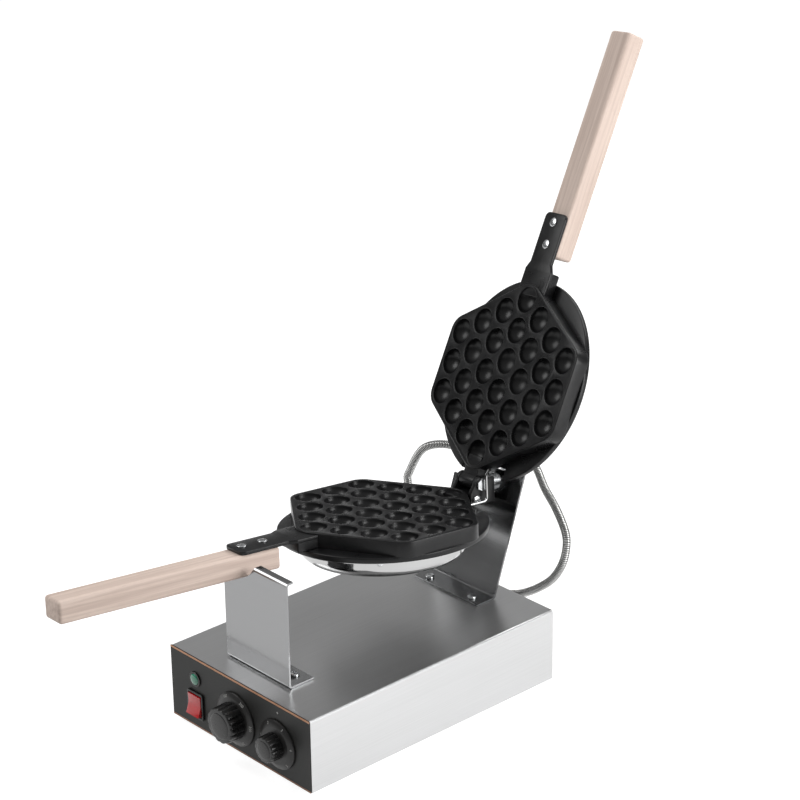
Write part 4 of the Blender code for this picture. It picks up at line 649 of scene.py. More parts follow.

# %% [markdown]
# ## The hoses
#
# The hoses are stripwound metal, springy, with a rib every two millimetres. Each one follows a
# smooth curve through given points, the same ones that the model's own hoses follow.
# Along it a ring of points swells and narrows once for each rib, and the narrow seam between
# two ribs has a dark finish of its own, which is painted shade. The hose to the lid
# crosses both joints, so it is made in two lengths that meet half way, each over one joint.

# %% Follow a smooth way and sweep a ribbed tube along it
UPPER_HOSE_ROUTE = (
    (-0.0090, 0.2400, 0.2030), (0.0030, 0.2440, 0.1880), (0.0272, 0.2330, 0.1752),
    (0.0557, 0.2207, 0.1657), (0.0785, 0.2107, 0.1523), (0.0884, 0.2037, 0.1410),
    (0.0881, 0.1990, 0.1220), (0.0749, 0.1985, 0.0993), (0.0527, 0.2000, 0.0793),
    (0.0235, 0.2040, 0.0600), (0.0030, 0.2010, 0.0525),
)
LOWER_HOSE_ROUTE = (
    (-0.0275, 0.1830, 0.1610), (-0.0350, 0.2010, 0.1700), (-0.0510, 0.2060, 0.1890),
    (-0.0801, 0.2010, 0.2000), (-0.1155, 0.1927, 0.1884),
    (-0.1376, 0.1907, 0.1538), (-0.1406, 0.1907, 0.1397), (-0.1338, 0.1927, 0.1021),
    (-0.1090, 0.1967, 0.0730), (-0.0819, 0.2030, 0.0560), (-0.0600, 0.2020, 0.0515),
)
LENGTHS_MEET = 5         # the point of the upper route where its two lengths meet
RIB_PITCH = 0.0021
RIB_STEPS = 6
RIB_ROUNDNESS = 0.6      # below 1, a rib is broad and its seam narrow
HOSE_SIDES = 20
CURVE_STEPS = 24         # between two points of a route
NEARLY = 1e-7


def way_length(way):
    return sum((q - p).length for p, q in zip(way, way[1:]))


def curve_through(points, spacing):
    """Points at even steps along a smooth curve through the given ones."""
    ends = [points[0] * 2 - points[1]] + points + [points[-1] * 2 - points[-2]]
    fine = []
    for a, b, c, d in zip(ends, ends[1:], ends[2:], ends[3:]):
        for k in range(CURVE_STEPS):
            t = k / CURVE_STEPS
            fine.append((
                b * 2 + (c - a) * t + (a * 2 - b * 5 + c * 4 - d) * t * t
                + (b * 3 - a - c * 3 + d) * t * t * t
            ) / 2)
    fine.append(points[-1])
    total = way_length(fine)
    count = max(2, round(total / spacing))
    out, gone, target = [fine[0]], 0, total / count
    for p, q in zip(fine, fine[1:]):
        step = (q - p).length
        while step > 0 and gone + step >= target - NEARLY and len(out) < count:
            out.append(p.lerp(q, (target - gone) / step))
            target += total / count
        gone += step
    return out + [fine[-1]]


def swept(way, radii, sides):
    """A closed tube along a way of points, whose frame turns as little as it can."""
    across = (way[1] - way[0]).orthogonal().normalized()
    rings = []
    for i, point in enumerate(way):
        along = (way[min(i + 1, len(way) - 1)] - way[max(i - 1, 0)]).normalized()
        across = (across - along * across.dot(along)).normalized()
        other = along.cross(across)
        ring = []
        for k in range(sides):
            angle = 2 * math.pi * k / sides
            ring.append(
                point + across * (radii[i] * math.cos(angle)) + other * (radii[i] * math.sin(angle))
            )
        rings.append(ring)
    return skinned(rings)


def hose_way(start, end, route):
    """Even points from one sleeve's mouth to another's, by way of a route's points."""
    face = GAP + FERRULE_L + GAP
    straight = 2 * HOSE_R
    inner = [BOX_MIDDLE + Vector(point) for point in route]
    past_mouth = Vector((0, 0, face + straight))
    way = curve_through([start @ past_mouth, *inner, end @ past_mouth], RIB_PITCH / RIB_STEPS)
    spacing = (way[1] - way[0]).length
    count = round(straight / spacing)
    first, last = start @ Vector((0, 0, face)), end @ Vector((0, 0, face))
    tail = [first.lerp(way[0], i / count) for i in range(count)]
    head = [way[-1].lerp(last, (i + 1) / count) for i in range(count)]
    return tail + way + head


def ribbed(way):
    """A hose mesh along a way: rounded crests with narrow valleys between them."""
    radii = []
    for i in range(len(way)):
        crest = abs(math.sin(math.pi * i / RIB_STEPS)) ** RIB_ROUNDNESS
        radii.append(HOSE_VALLEY_R + (HOSE_R - HOSE_VALLEY_R) * crest)
    return swept(way, radii, HOSE_SIDES)


# %% Make the hoses
def hose_piece(name, way, node):
    """One length of hose that lies over the joint between two bodies."""
    mesh = ribbed(way)
    mesh.name = name
    mesh.materials.append(HOSE)
    mesh.materials.append(HOSE_SEAM_PAINTED_SHADE)
    for face in mesh.polygons[: (len(way) - 1) * HOSE_SIDES]:
        # Faces in the seam between two ribs take the dark finish, painted shade between the ribs.
        ring = face.index // HOSE_SIDES % RIB_STEPS
        in_painted_shade_seam = ring in (0, RIB_STEPS - 1)
        face.material_index = int(in_painted_shade_seam)
    mesh.shade_smooth()
    piece = bpy.data.objects.new(name, mesh)
    bpy.context.scene.collection.objects.link(piece)
    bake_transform(piece)
    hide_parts(node)


HOSE = finish("stripwound_hose", "polished_steel", BRUSHED, 1.0, Colour=(0.50, 0.50, 0.49, 1),
              Lines=(300, 300, 300), Contrast=0.25, Roughness=0.18, Spread=0.12, Depth=0.05)
# The seam's dark colour is painted shade that lies between the ribs.
HOSE_SEAM_PAINTED_SHADE = finish("hose_seam_painted_shade", "polished_steel", BRUSHED, 1.0, Colour=(0.05, 0.05, 0.05, 1),
              Lines=(300, 300, 300), Contrast=0.25, Roughness=0.45, Spread=0.12, Depth=0.05)
upper_way = hose_way(UPPER_OUTLET, UPPER_GLAND, UPPER_HOSE_ROUTE)
meeting = BOX_MIDDLE + Vector(UPPER_HOSE_ROUTE[LENGTHS_MEET])
split = min(range(len(upper_way)), key=lambda i: (upper_way[i] - meeting).length)
to_lid, to_box = upper_way[: split + 1], upper_way[split:]
hose_piece("hose_to_lid_near_box", to_box[::-1], "upper_hose")
hose_piece("hose_to_lid_near_lid", to_lid[::-1], "upper_hose")
grommet_low, grommet_high = (Vector(corner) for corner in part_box("bracket_grommet"))
in_grommet = (grommet_low + grommet_high) / 2
lower_route = (tuple(in_grommet - BOX_MIDDLE), *LOWER_HOSE_ROUTE)
lower_way = hose_way(LOWER_OUTLET, LOWER_GLAND, lower_route)
hose_piece("hose_to_lower_pan", lower_way[::-1], "lower_hose")

# %% [markdown]
# ## Hose ends, grommet, bush and feet
#
# These are all turned pieces. A flanged sleeve holds each hose end, a rubber grommet keeps the
# bracket from cutting the lower hose, and the steel bush carries the swivel axle. Small rounded
# edges on each of them catch the light as real turned edges do.

# %% Turned pieces
EDGE = 0.0003
FINE, ROUND, WIDE = 40, 64, 96     # sides of small, middling and large turned pieces


def sleeve():
    return turned([
        (HOSE_R + EDGE, GAP + FERRULE_L), (FERRULE_R - EDGE, GAP + FERRULE_L),
        (FERRULE_R, GAP + FERRULE_L - EDGE), (FERRULE_R, GAP + FERRULE_FLANGE_T),
        (FERRULE_FLANGE_R - EDGE, GAP + FERRULE_FLANGE_T),
        (FERRULE_FLANGE_R, GAP + FERRULE_FLANGE_T - EDGE), (FERRULE_FLANGE_R, GAP),
        (FERRULE_SHANK_R, GAP), (FERRULE_SHANK_R, -FERRULE_SHANK_L),
        (FERRULE_SHANK_R - 2 * EDGE, -FERRULE_SHANK_L),
        (FERRULE_SHANK_R - 2 * EDGE, GAP + FERRULE_L / 2), (HOSE_R + EDGE, GAP + FERRULE_L / 2),
    ], FINE)


place(sleeve(), "sleeve_upper_gland", ZINC, "base", UPPER_GLAND, ["upper_gland"])
place(sleeve(), "sleeve_lower_gland", ZINC, "base", LOWER_GLAND, ["lower_gland"])
place(sleeve(), "sleeve_lower_pan", ZINC, "pan_set", LOWER_OUTLET, ["lower_ferrule"])
place(sleeve(), "sleeve_upper_pan", ZINC, "lid", UPPER_OUTLET, ["upper_ferrule"])

STAND_SHEET = 0.0020
BRACKET_LEAN = math.radians(19.0)
GROMMET_R, GROMMET_WAIST_R, GROMMET_BORE_R, GROMMET_LIP_T = 0.0106, 0.0088, 0.0066, 0.0018
lip = STAND_SHEET / 2 + GAP
outer_lip = [
    (GROMMET_BORE_R + GROMMET_LIP_T / 2, lip + GROMMET_LIP_T),
    (GROMMET_R - GROMMET_LIP_T / 2, lip + GROMMET_LIP_T),
    (GROMMET_R - EDGE, lip + GROMMET_LIP_T - 2 * EDGE), (GROMMET_R, lip + 2 * EDGE), (GROMMET_R, lip),
    (GROMMET_WAIST_R, lip),
]
grommet_profile = [(GROMMET_BORE_R, lip)] + outer_lip
grommet_profile += [(radius, -height) for radius, height in reversed(outer_lip)]
grommet_profile.append((GROMMET_BORE_R, -lip))
place(
    turned(grommet_profile, FINE), "grommet", RUBBER, "base",
    Matrix.Translation(in_grommet) @ Matrix.Rotation(-BRACKET_LEAN, 4, "X") @ TURN_Y,
    ["bracket_grommet"],
)

BUSH_R, BUSH_START, BUSH_END, AXLE_R, PIN_PLAY = 0.0110, 0.1330, 0.1600, 0.0050, 0.00015
place(
    turned([
        (AXLE_R + PIN_PLAY, BUSH_END), (BUSH_R - 2 * EDGE, BUSH_END), (BUSH_R, BUSH_END - 2 * EDGE),
        (BUSH_R, BUSH_START + 2 * EDGE), (BUSH_R - 2 * EDGE, BUSH_START),
        (AXLE_R + PIN_PLAY, BUSH_START),
    ], ROUND),
    "swivel_bush", ZINC, "base", TO_PANS @ TURN_Y, ["axle_bush"],
)

FOOT_EDGE = 0.0012
for foot in ("foot_front_left", "foot_front_right", "foot_rear_left", "foot_rear_right"):
    low, high = (Vector(corner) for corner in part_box(foot))
    foot_r = (high.x - low.x) / 2
    foot_top = BOX_BASE - GAP
    place(
        turned([
            (0, high.z), (foot_r / 4, high.z), (foot_r / 4, foot_top), (foot_r - 2 * FOOT_EDGE, foot_top),
            (foot_r - FOOT_EDGE, foot_top - FOOT_EDGE / 2), (foot_r, FOOT_EDGE), (foot_r - FOOT_EDGE, 0),
            (0, 0),
        ], FINE),
        foot + "_moulded", RUBBER, "base", at((low.x + high.x) / 2, (low.y + high.y) / 2, 0), [foot],
    )
print("turned pieces placed")

# %% [markdown]
# ## Screws and bolts
#
# The stands and the covers are held by cross-head screws, and each wooden handle by two round
# bolt heads on its arm. All of them come from one turned profile with a domed head; the
# cross-head ones have two crossed slots cut in.

# %% Make and place the fasteners
SLOT_WIDE_SHARE, SLOT_LONG_SHARE, SLOT_DEEP_SHARE = 0.2, 1.2, 0.5   # of the head
HEAD_RIM_SHARE = 0.45    # of the head's thickness, that its straight rim takes
# Each one's shaft radius, length, head radius and head thickness
STAND_SCREW = (0.0030, 0.0080, 0.0050, 0.0032)
COVER_SCREW = (0.0016, 0.0040, 0.0034, 0.0018)
HANDLE_BOLT = (0.0025, 0.0195, 0.0048, 0.0014)
FIRST_SPIN = 0.5         # the slots of the four stand screws point four ways


def fastener(shaft_r, length, head_r, head_t, crossed=False):
    head = dome(head_r, head_t * (1 - HEAD_RIM_SHARE), head_t * HEAD_RIM_SHARE, 15)
    mesh = turned(
        head + [(head_r, 0), (shaft_r, 0), (shaft_r, -length), (0, -length)], FINE
    )
    if not crossed:
        return mesh
    slot = block((head_r * SLOT_LONG_SHARE, head_r * SLOT_WIDE_SHARE, 2 * head_t * SLOT_DEEP_SHARE))
    return joined(mesh, cut=[
        (slot, at(0, 0, head_t)), (slot, at(0, 0, head_t) @ Matrix.Rotation(math.pi / 2, 4, "Z")),
    ])


stand_screw = fastener(*STAND_SCREW, crossed=True)
stand_head_t = STAND_SCREW[-1]
for i, screw in enumerate(
    ("cradle_screw_left", "cradle_screw_right", "bracket_screw_left", "bracket_screw_right")
):
    low, high = (Vector(corner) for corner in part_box(screw))
    spin = Matrix.Rotation(FIRST_SPIN + i, 4, "Z")
    place(
        stand_screw.copy(), screw + "_domed", ZINC, "base",
        at((low.x + high.x) / 2, (low.y + high.y) / 2, high.z - stand_head_t) @ spin, [screw],
    )

cover_screw = fastener(*COVER_SCREW, crossed=True)
handle_bolt = fastener(*HANDLE_BOLT)
COVER_SCREW_DROP = 0.0060
COVER_SCREW_ANGLES = {"right": math.radians(-37), "left": math.radians(143)}
ARM_TOP, ARM_T = 0.0022, 0.0040
HANDLE_BOLTS = {"inner": 0.1440, "outer": 0.1680}
SIDES = {"lower": ("pan_set", TO_PANS), "upper": ("lid", TO_LID)}
for side, (body_name, matrix) in SIDES.items():
    for where, angle in COVER_SCREW_ANGLES.items():
        screw = f"{side}_cover_screw_{where}"
        place(
            cover_screw.copy(), screw + "_domed", ZINC, body_name,
            matrix @ Matrix.Rotation(angle, 4, "Z")
            @ at(COVER_R + COVER_T / 2 + GAP, 0, -RIM_BASE - COVER_SCREW_DROP) @ TURN_X, [screw],
        )
    for where, v in HANDLE_BOLTS.items():
        bolt = f"{side}_handle_bolt_{where}"
        place(
            handle_bolt.copy(), bolt + "_domed", ZINC, body_name,
            matrix @ at(0, -v, -ARM_TOP + GAP), [bolt],
        )
print("fasteners placed")

# %% [markdown]
# ## The cast pans
#
# Each pan is one casting with a black non-stick coat: a hexagonal block with thirty round cells,
# a round rim under it for the cover, a skirt, and a flat arm for the handle. The cells lie in
# straight columns, every other one shifted by half a step, as in a honeycomb. They are cut
# from the plain block, each with a small rounded lip that catches a thin line of light, and
# the rim, the skirt, the neck and the arm are joined to it after that.

# %% Outline of the block and places of the cells
CELL_PITCH, CELL_R, CELL_DEPTH, CELL_LAND = 0.0333, 0.0138, 0.0108, 0.0047
CELL_COUNTS = (6, 5, 4, 3)      # in the middle column and each one beside it
CELL_LIP = 0.0008
CELL_SIDES = 40
FACE_CLEAR = 0.0004      # between a pan's face and the plane where the closed pans meet
HEX_H, CORNER_R, CORNER_STEPS = 0.0170, 0.0300, 12
CAST_EDGE = 0.0010
RIM_R, RIM_STEPS = 0.1080, 120
SKIRT_T, SKIRT_H = 0.0040, 0.0100
NOTCH_HALF, NOTCH_V = 0.0340, 0.0900
NECK_W, NECK_START, NECK_END, NECK_BASE = 0.0420, 0.0880, 0.1160, 0.0165
SHOULDER_END, ARM_W, ARM_END, ARM_CORNER = 0.1240, 0.0330, 0.1780, 0.0060
BOSS_R, BOSS_BASE = 0.0080, 0.0256
TANG_HALF, TANG_START, TANG_END, TANG_TOP, TANG_BASE = 0.0117, 0.0860, 0.1190, 0.0032, 0.0150
KNUCKLE_R, KNUCKLE_HALF, KNUCKLE_UNDER = 0.0078, 0.0115, 0.0010

column_step = CELL_PITCH * math.cos(math.radians(30))
cell_places = []
for column, count in enumerate(CELL_COUNTS):
    for sign in ((1, -1) if column else (1,)):
        for k in range(count):
            cell_places.append((sign * column * column_step, ((count - 1) / 2 - k) * CELL_PITCH))
side_u = 3 * column_step + CELL_R + CELL_LAND
slant = 2.5 * column_step + CELL_R + CELL_LAND
corner_v = (slant - side_u * math.sin(math.radians(30))) / math.cos(math.radians(30))
tip_v = slant / math.cos(math.radians(30))
side_r = CELL_R + CELL_LAND
hexagon = rounded(
    [(side_u, -corner_v), (side_u, corner_v), (0, tip_v),
     (-side_u, corner_v), (-side_u, -corner_v), (0, -tip_v)],
    [side_r, side_r, CORNER_R, side_r, side_r, CORNER_R], CORNER_STEPS,
)
notch_angle = math.degrees(math.acos(NOTCH_HALF / RIM_R))
rim_outline = arc((0, 0), RIM_R, 180 - notch_angle, 360 + notch_angle, RIM_STEPS)
rim_outline += [(NOTCH_HALF, NOTCH_V), (-NOTCH_HALF, NOTCH_V)]
arm_outline = rounded([
    (-NECK_W / 2, -NECK_START), (-NECK_W / 2, -NECK_END), (-ARM_W / 2, -SHOULDER_END),
    (-ARM_W / 2, -ARM_END), (ARM_W / 2, -ARM_END), (ARM_W / 2, -SHOULDER_END),
    (NECK_W / 2, -NECK_END), (NECK_W / 2, -NECK_START),
], [0, CELL_LIP, CELL_LIP, ARM_CORNER, ARM_CORNER, CELL_LIP, CELL_LIP, 0])
print("cells", len(cell_places))

# %% Cast the body once, then give each pan its hinge end
profile = [(0, OVERRUN), (CELL_R + CELL_LIP, OVERRUN)]
profile += arc((CELL_R + CELL_LIP, -CELL_LIP), CELL_LIP, 90, 180, 4)
for angle in range(10, 91, 10):
    turn = math.radians(angle)
    profile.append((CELL_R * math.cos(turn), -CELL_LIP - (CELL_DEPTH - CELL_LIP) * math.sin(turn)))
profile[-1] = (0, -CELL_DEPTH)
cell_tool = turned(profile, CELL_SIDES)
off_the_seams = Matrix.Rotation(math.pi / CELL_SIDES / 2, 4, "Z")
cells = gathered([(cell_tool, at(u, v, -FACE_CLEAR) @ off_the_seams) for u, v in cell_places])

hex_block = plate(hexagon, HEX_H - FACE_CLEAR, CAST_EDGE)
hex_block.transform(at(0, 0, -(HEX_H + FACE_CLEAR) / 2))
hex_block = joined(hex_block, cut=[(cells, Matrix())])
SKIRT_R = COVER_R - COVER_T / 2 - GAP
skirt = turned([
    (SKIRT_R - SKIRT_T, -RIM_TOP - RIM_T / 2), (SKIRT_R, -RIM_TOP - RIM_T / 2),
    (SKIRT_R, -RIM_BASE - SKIRT_H), (SKIRT_R - SKIRT_T, -RIM_BASE - SKIRT_H),
], WIDE)
rim = joined(
    plate(rim_outline, RIM_T, CAST_EDGE),
    cut=[(cylinder(SKIRT_R - SKIRT_T / 2, 2 * RIM_T, WIDE), Matrix())],
)
neck_h = NECK_BASE - ARM_TOP
casting = joined(
    hex_block,
    add=[
        (rim, at(0, 0, -RIM_TOP - RIM_T / 2)),
        (skirt, Matrix()),
        (cylinder(BOSS_R, BOSS_BASE - HEX_H + CELL_LIP, FINE),
         at(0, 0, -(BOSS_BASE + HEX_H - CELL_LIP) / 2)),
        (block((NECK_W - CELL_LIP, NECK_END - NECK_START, neck_h - CELL_LIP), 2 * CAST_EDGE),
         at(0, -(NECK_START + NECK_END) / 2, -(NECK_BASE + ARM_TOP) / 2 - CELL_LIP / 2)),
        (plate(arm_outline, ARM_T, CELL_LIP), at(0, 0, -ARM_TOP - ARM_T / 2)),
    ],
)
tang = block((2 * TANG_HALF, TANG_END - TANG_START, TANG_BASE - TANG_TOP), CAST_EDGE)
knuckle = plate(arc((0, 0), KNUCKLE_R, 0, 354, 59), 2 * KNUCKLE_HALF, CELL_LIP)
knuckle_base = HINGE_W + KNUCKLE_R
neck_size = (2 * KNUCKLE_HALF - CELL_LIP, HINGE_V - TANG_START, knuckle_base - KNUCKLE_UNDER)
neck = block(neck_size, CAST_EDGE)
lower_casting = joined(casting.copy(), add=[
    (tang, at(0, (TANG_START + TANG_END) / 2, -(TANG_TOP + TANG_BASE) / 2)),
])
upper_casting = joined(casting, add=[
    (knuckle, at(0, HINGE_V, -HINGE_W) @ TURN_X),
    (neck, at(0, (HINGE_V + TANG_START) / 2, -(knuckle_base + KNUCKLE_UNDER) / 2)),
])
place(lower_casting, "cast_lower_pan", CAST, "pan_set", TO_PANS, ["lower_pan"])
place(upper_casting, "cast_upper_pan", CAST, "lid", TO_LID, ["upper_pan"])
print("pan faces", len(lower_casting.polygons))

# %% [markdown]
# ## The covers
#
# A cover is spun from thin stainless sheet and then polished: a flat flange against the rim, a
# straight wall, a round corner and a nearly flat face. The curved wall matters most, because
# it carries the long dark and light bands. Its flange is cut off straight beside the hinge.

# %% Spin the covers
WALL_SHARE = 0.46        # of the depth, where the straight wall ends
COVER_FLANGE_W = 0.0190
COVER_SIDES, FACE_RINGS = 120, 6


def cover_profile():
    points = [(COVER_R + COVER_FLANGE_W, -COVER_TOP), (COVER_R + 2 * COVER_T, -COVER_TOP)]
    points += arc((COVER_R + 2 * COVER_T, -COVER_TOP - 2 * COVER_T), 2 * COVER_T, 110, 170, 3)
    points.append((COVER_R, -COVER_TOP - COVER_DEPTH * WALL_SHARE))
    face_depth = 1 - DOME_SHARE
    for angle in range(10, 91, 10):
        turn = math.radians(angle)
        points.append((
            COVER_R * (FACE_SHARE + (1 - FACE_SHARE) * math.cos(turn)),
            -COVER_TOP - COVER_DEPTH * (WALL_SHARE + (face_depth - WALL_SHARE) * math.sin(turn)),
        ))
    for k in range(1, FACE_RINGS + 1):
        radius = COVER_R * FACE_SHARE * (1 - k / FACE_RINGS)
        points.append((radius, -COVER_TOP - cover_fall(radius)))
    return points


cover = joined(turned(cover_profile(), COVER_SIDES, COVER_T), cut=[
    (block((2 * NOTCH_HALF, RIM_R - NOTCH_V, 2 * OVERRUN)), at(0, (RIM_R + NOTCH_V) / 2, -COVER_TOP)),
])
place(cover.copy(), "spun_lower_cover", POLISHED, "pan_set", TO_PANS, ["lower_cover"])
place(cover, "spun_upper_cover", POLISHED, "lid", TO_LID, ["upper_cover"])
print("cover faces", len(cover.polygons))

# %% [markdown]
# ## The handles
#
# The handles are planed pale wood with eased edges, screwed up under the cast arms. Their grain
# runs along the length, which the finish takes from the mesh's own Y direction.

# %% Shape the handles
HANDLE_W, HANDLE_H, HANDLE_START, HANDLE_END = 0.0300, 0.0230, 0.1330, 0.3780
HANDLE_BEVEL, BEVEL_STEPS = 0.0035, 6
handle_top = ARM_TOP + ARM_T + GAP
handle = block((HANDLE_W, HANDLE_END - HANDLE_START, HANDLE_H), HANDLE_BEVEL, BEVEL_STEPS)
for side, (body_name, matrix) in SIDES.items():
    place(
        handle.copy(), f"{side}_wooden_handle", WOOD, body_name,
        matrix @ at(0, -(HANDLE_START + HANDLE_END) / 2, -handle_top - HANDLE_H / 2),
        [f"{side}_handle"],
    )
print("handles placed")

# %% [markdown]
# ## The hinge
#
# The lid's knuckle turns on a pin between the two cheeks of a cast yoke, which is bolted to the
# lower pan and carries the swivel axle. A thin bent rod stands up beside it. The yoke is drawn
# from the side and its edges are rounded over; the pin, the bolt and the rod are bright steel.

# %% Build the hinge
YOKE_BASE, YOKE_END, BRIDGE_T = 0.0150, 0.1300, 0.0060
CHEEK_START, CHEEK_LIP, CHEEK_R, CHEEK_T = 0.0990, 0.0020, 0.0080, 0.0050
CHEEK_GAP, STOP_GAP = 0.0004, 0.00035
YOKE_EDGE = 0.0007
PIN_R, PIN_HEAD_R, PIN_HEAD_T, PIN_NUT_T = 0.0040, 0.0060, 0.0028, 0.0030
YOKE_BOLT_R, YOKE_BOLT_HEAD_R, YOKE_BOLT_HEAD_T = 0.0028, 0.0050, 0.0022
YOKE_BOLT_V, YOKE_BOLT_W = 0.1065, 0.0092
ROD_R, ROD_U, ROD_V, ROD_W, ROD_SEAT = 0.0015, 0.0230, 0.1150, 0.0103, 0.0860
ROD_TOP, ROD_TIP_U, ROD_TIP_W = 0.0196, 0.0295, 0.0245

yoke_inner = KNUCKLE_HALF + CHEEK_GAP
yoke_half = yoke_inner + CHEEK_T
bridge_start = YOKE_END - BRIDGE_T
bridge_top = HINGE_W - (
    (bridge_start - HINGE_V) * math.sin(LID_ANGLE) - KNUCKLE_R - STOP_GAP
) / math.cos(LID_ANGLE)
cheek_outline = [
    (CHEEK_START, -YOKE_BASE), (YOKE_END, -YOKE_BASE),
    (YOKE_END, bridge_top), (bridge_start, bridge_top),
    *arc((HINGE_V, HINGE_W), CHEEK_R, 45, 180, 16), (CHEEK_START, -CHEEK_LIP),
]
cheek = plate(cheek_outline, CHEEK_T, YOKE_EDGE)
bridge = block((2 * yoke_half, BRIDGE_T, bridge_top + YOKE_BASE), YOKE_EDGE)
cheek_middle = yoke_inner + CHEEK_T / 2
from_pan = at(0, YOKE_END - BRIDGE_T / 2, (bridge_top - YOKE_BASE) / 2)
yoke = joined(bridge, add=[
    (cheek, from_pan.inverted() @ at(side_at, 0, 0) @ SIDE_VIEW)
    for side_at in (-cheek_middle, cheek_middle)
])
place(yoke, "cast_hinge_yoke", CAST, "pan_set", TO_PANS @ from_pan, ["hinge_yoke"])
pin = fastener(PIN_R, 2 * yoke_half + 2 * GAP + PIN_NUT_T, PIN_HEAD_R, PIN_HEAD_T)
place(
    pin, "hinge_pin_domed", ZINC, "pan_set",
    TO_HINGE @ at(-yoke_half - GAP, 0, 0) @ TURN_X @ Matrix.Rotation(math.pi, 4, "X"), ["hinge_pin"],
)
yoke_bolt = fastener(
    YOKE_BOLT_R, 2 * yoke_half + YOKE_BOLT_HEAD_T, YOKE_BOLT_HEAD_R, YOKE_BOLT_HEAD_T
)
place(
    yoke_bolt, "yoke_bolt_domed", ZINC, "pan_set",
    TO_PANS @ at(yoke_half + GAP, YOKE_BOLT_V, -YOKE_BOLT_W) @ TURN_X, ["yoke_bolt"],
)
rod_bend = 3 * ROD_R
low_bend = arc((ROD_V - rod_bend, -ROD_W + rod_bend), rod_bend, -90, 0, 6)
rod_way = [Vector(point) for point in (
    (ROD_U, ROD_SEAT + GAP, -ROD_W), *((ROD_U, v, w) for v, w in low_bend),
    (ROD_U, ROD_V, ROD_TOP - rod_bend), (ROD_U + ROD_R / 2, ROD_V, ROD_TOP - ROD_R),
    (ROD_U + rod_bend / 2, ROD_V, ROD_TOP), (ROD_TIP_U, ROD_V, ROD_TIP_W),
)]
place(
    swept(rod_way, [ROD_R] * len(rod_way), FINE // 2), "bent_rod", POLISHED, "pan_set", TO_PANS,
    ["stop_rod"],
)
print("hinge placed")

# %% [markdown]
# ## The control panel
#
# The panel is painted matt black, with a copper line along its top edge and a brown one along
# its foot. The lamp's lens stands in a black collar, the red rocker tilts in a bevelled bezel,
# and each knob has a fluted grip on a dark dial with plain numbers.

# %% Lines, dot, lamp and switch
LINE_T = 0.00012
TOP_LINE, FOOT_LINE = 0.0022, 0.0018
DOT_R, DOT_RIGHT, DOT_UP = 0.0011, 0.1674, 0.0694
panel_w = plate_high.x - plate_low.x
panel_middle = (plate_low.x + plate_high.x) / 2
for name, line_h, z, paint in (
    ("copper_top_line", TOP_LINE, plate_high.z - TOP_LINE / 2, COPPER),
    ("brown_foot_line", FOOT_LINE, plate_low.z + FOOT_LINE / 2, BROWN),
):
    place(block((panel_w, LINE_T, line_h)), name, paint, "base",
          at(panel_middle, PANEL_Y - LINE_T / 2, z))
place(
    turned([(0, LINE_T), (DOT_R, LINE_T), (DOT_R, 0), (0, 0)], FINE), "pale_dot", PRINT, "base",
    at(BOX_LEFT + DOT_RIGHT, PANEL_Y, BOX_BASE + DOT_UP) @ FACING_FRONT,
)

LAMP_R, LAMP_DOME, LAMP_BARREL_R = 0.0060, 0.0030, 0.0072
LAMP_FLANGE_R, LAMP_FLANGE_T = 0.0082, 0.0014
lamp_low, lamp_high = (Vector(corner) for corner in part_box("indicator_lamp"))
lamp_matrix = at(
    (lamp_low.x + lamp_high.x) / 2, PANEL_Y, (lamp_low.z + lamp_high.z) / 2
) @ FACING_FRONT
barrel_end = lamp_low.y - lamp_high.y + LAMP_DOME
collar = turned([
    (LAMP_R + EDGE, LAMP_FLANGE_T), (LAMP_FLANGE_R - EDGE, LAMP_FLANGE_T),
    (LAMP_FLANGE_R, LAMP_FLANGE_T - EDGE), (LAMP_FLANGE_R, GAP), (LAMP_BARREL_R, GAP),
    (LAMP_BARREL_R, barrel_end), (LAMP_R + EDGE, barrel_end),
], ROUND)
lens_dome = dome(LAMP_R, LAMP_DOME - LAMP_FLANGE_T, LAMP_FLANGE_T)
lens = turned(lens_dome + [(LAMP_R, -LAMP_DOME), (0, -LAMP_DOME)], ROUND)
place(collar, "lamp_collar", BLACK, "base", lamp_matrix, ["indicator_lamp"])
place(lens, "lamp_lens", GREEN, "base", lamp_matrix)

SWITCH_W, SWITCH_H, SWITCH_FLANGE_T = 0.0245, 0.0290, 0.0020
SWITCH_CORNER, SWITCH_EDGE = 0.0015, 0.0006
ROCKER_W, ROCKER_HALF, ROCKER_TIP, ROCKER_DIP = 0.0195, 0.0110, 0.0048, 0.0028
ROCKER_PLAY, ROCKER_STEPS, ROCKER_HOLLOW = 0.0006, 6, 1.3
ROCKER_TILT = math.radians(8.0)
ROCKER_VIEW = Matrix(((0, 0, 1, 0), (0, -1, 0, 0), (1, 0, 0, 0), (0, 0, 0, 1)))
housing_low, housing_high = (Vector(corner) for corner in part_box("switch_housing"))
switch_at = Vector(joints["switch_rock"]["pos_m"])
body_l = housing_high.y - housing_low.y - SWITCH_FLANGE_T
reach = math.hypot(ROCKER_HALF, ROCKER_TIP) + ROCKER_PLAY
pocket = ROCKER_HALF + ROCKER_PLAY
housing = joined(
    plate(rectangle(SWITCH_W, SWITCH_H, SWITCH_CORNER), SWITCH_FLANGE_T, SWITCH_EDGE),
    add=[(block((SWITCH_W - OVERRUN, SWITCH_H - OVERRUN, body_l)), at(0, 0, -body_l / 2))],
    cut=[(block((ROCKER_W + 2 * ROCKER_PLAY, 2 * reach, pocket + SWITCH_FLANGE_T + OVERRUN)),
          at(0, 0, (OVERRUN - pocket) / 2))],
)
place(
    housing, "switch_bezel", BLACK, "base",
    at(switch_at.x, housing_low.y + SWITCH_FLANGE_T / 2, switch_at.z) @ FACING_FRONT, ["switch_housing"],
)
rocker_outline = [(ROCKER_HALF, ROCKER_TIP)]
for k in range(1, 2 * ROCKER_STEPS):
    share = 1 - k / ROCKER_STEPS
    height = ROCKER_DIP + (ROCKER_TIP - ROCKER_DIP) * abs(share) ** ROCKER_HOLLOW
    rocker_outline.append((ROCKER_HALF * share, height))
rocker_outline.append((-ROCKER_HALF, ROCKER_TIP))
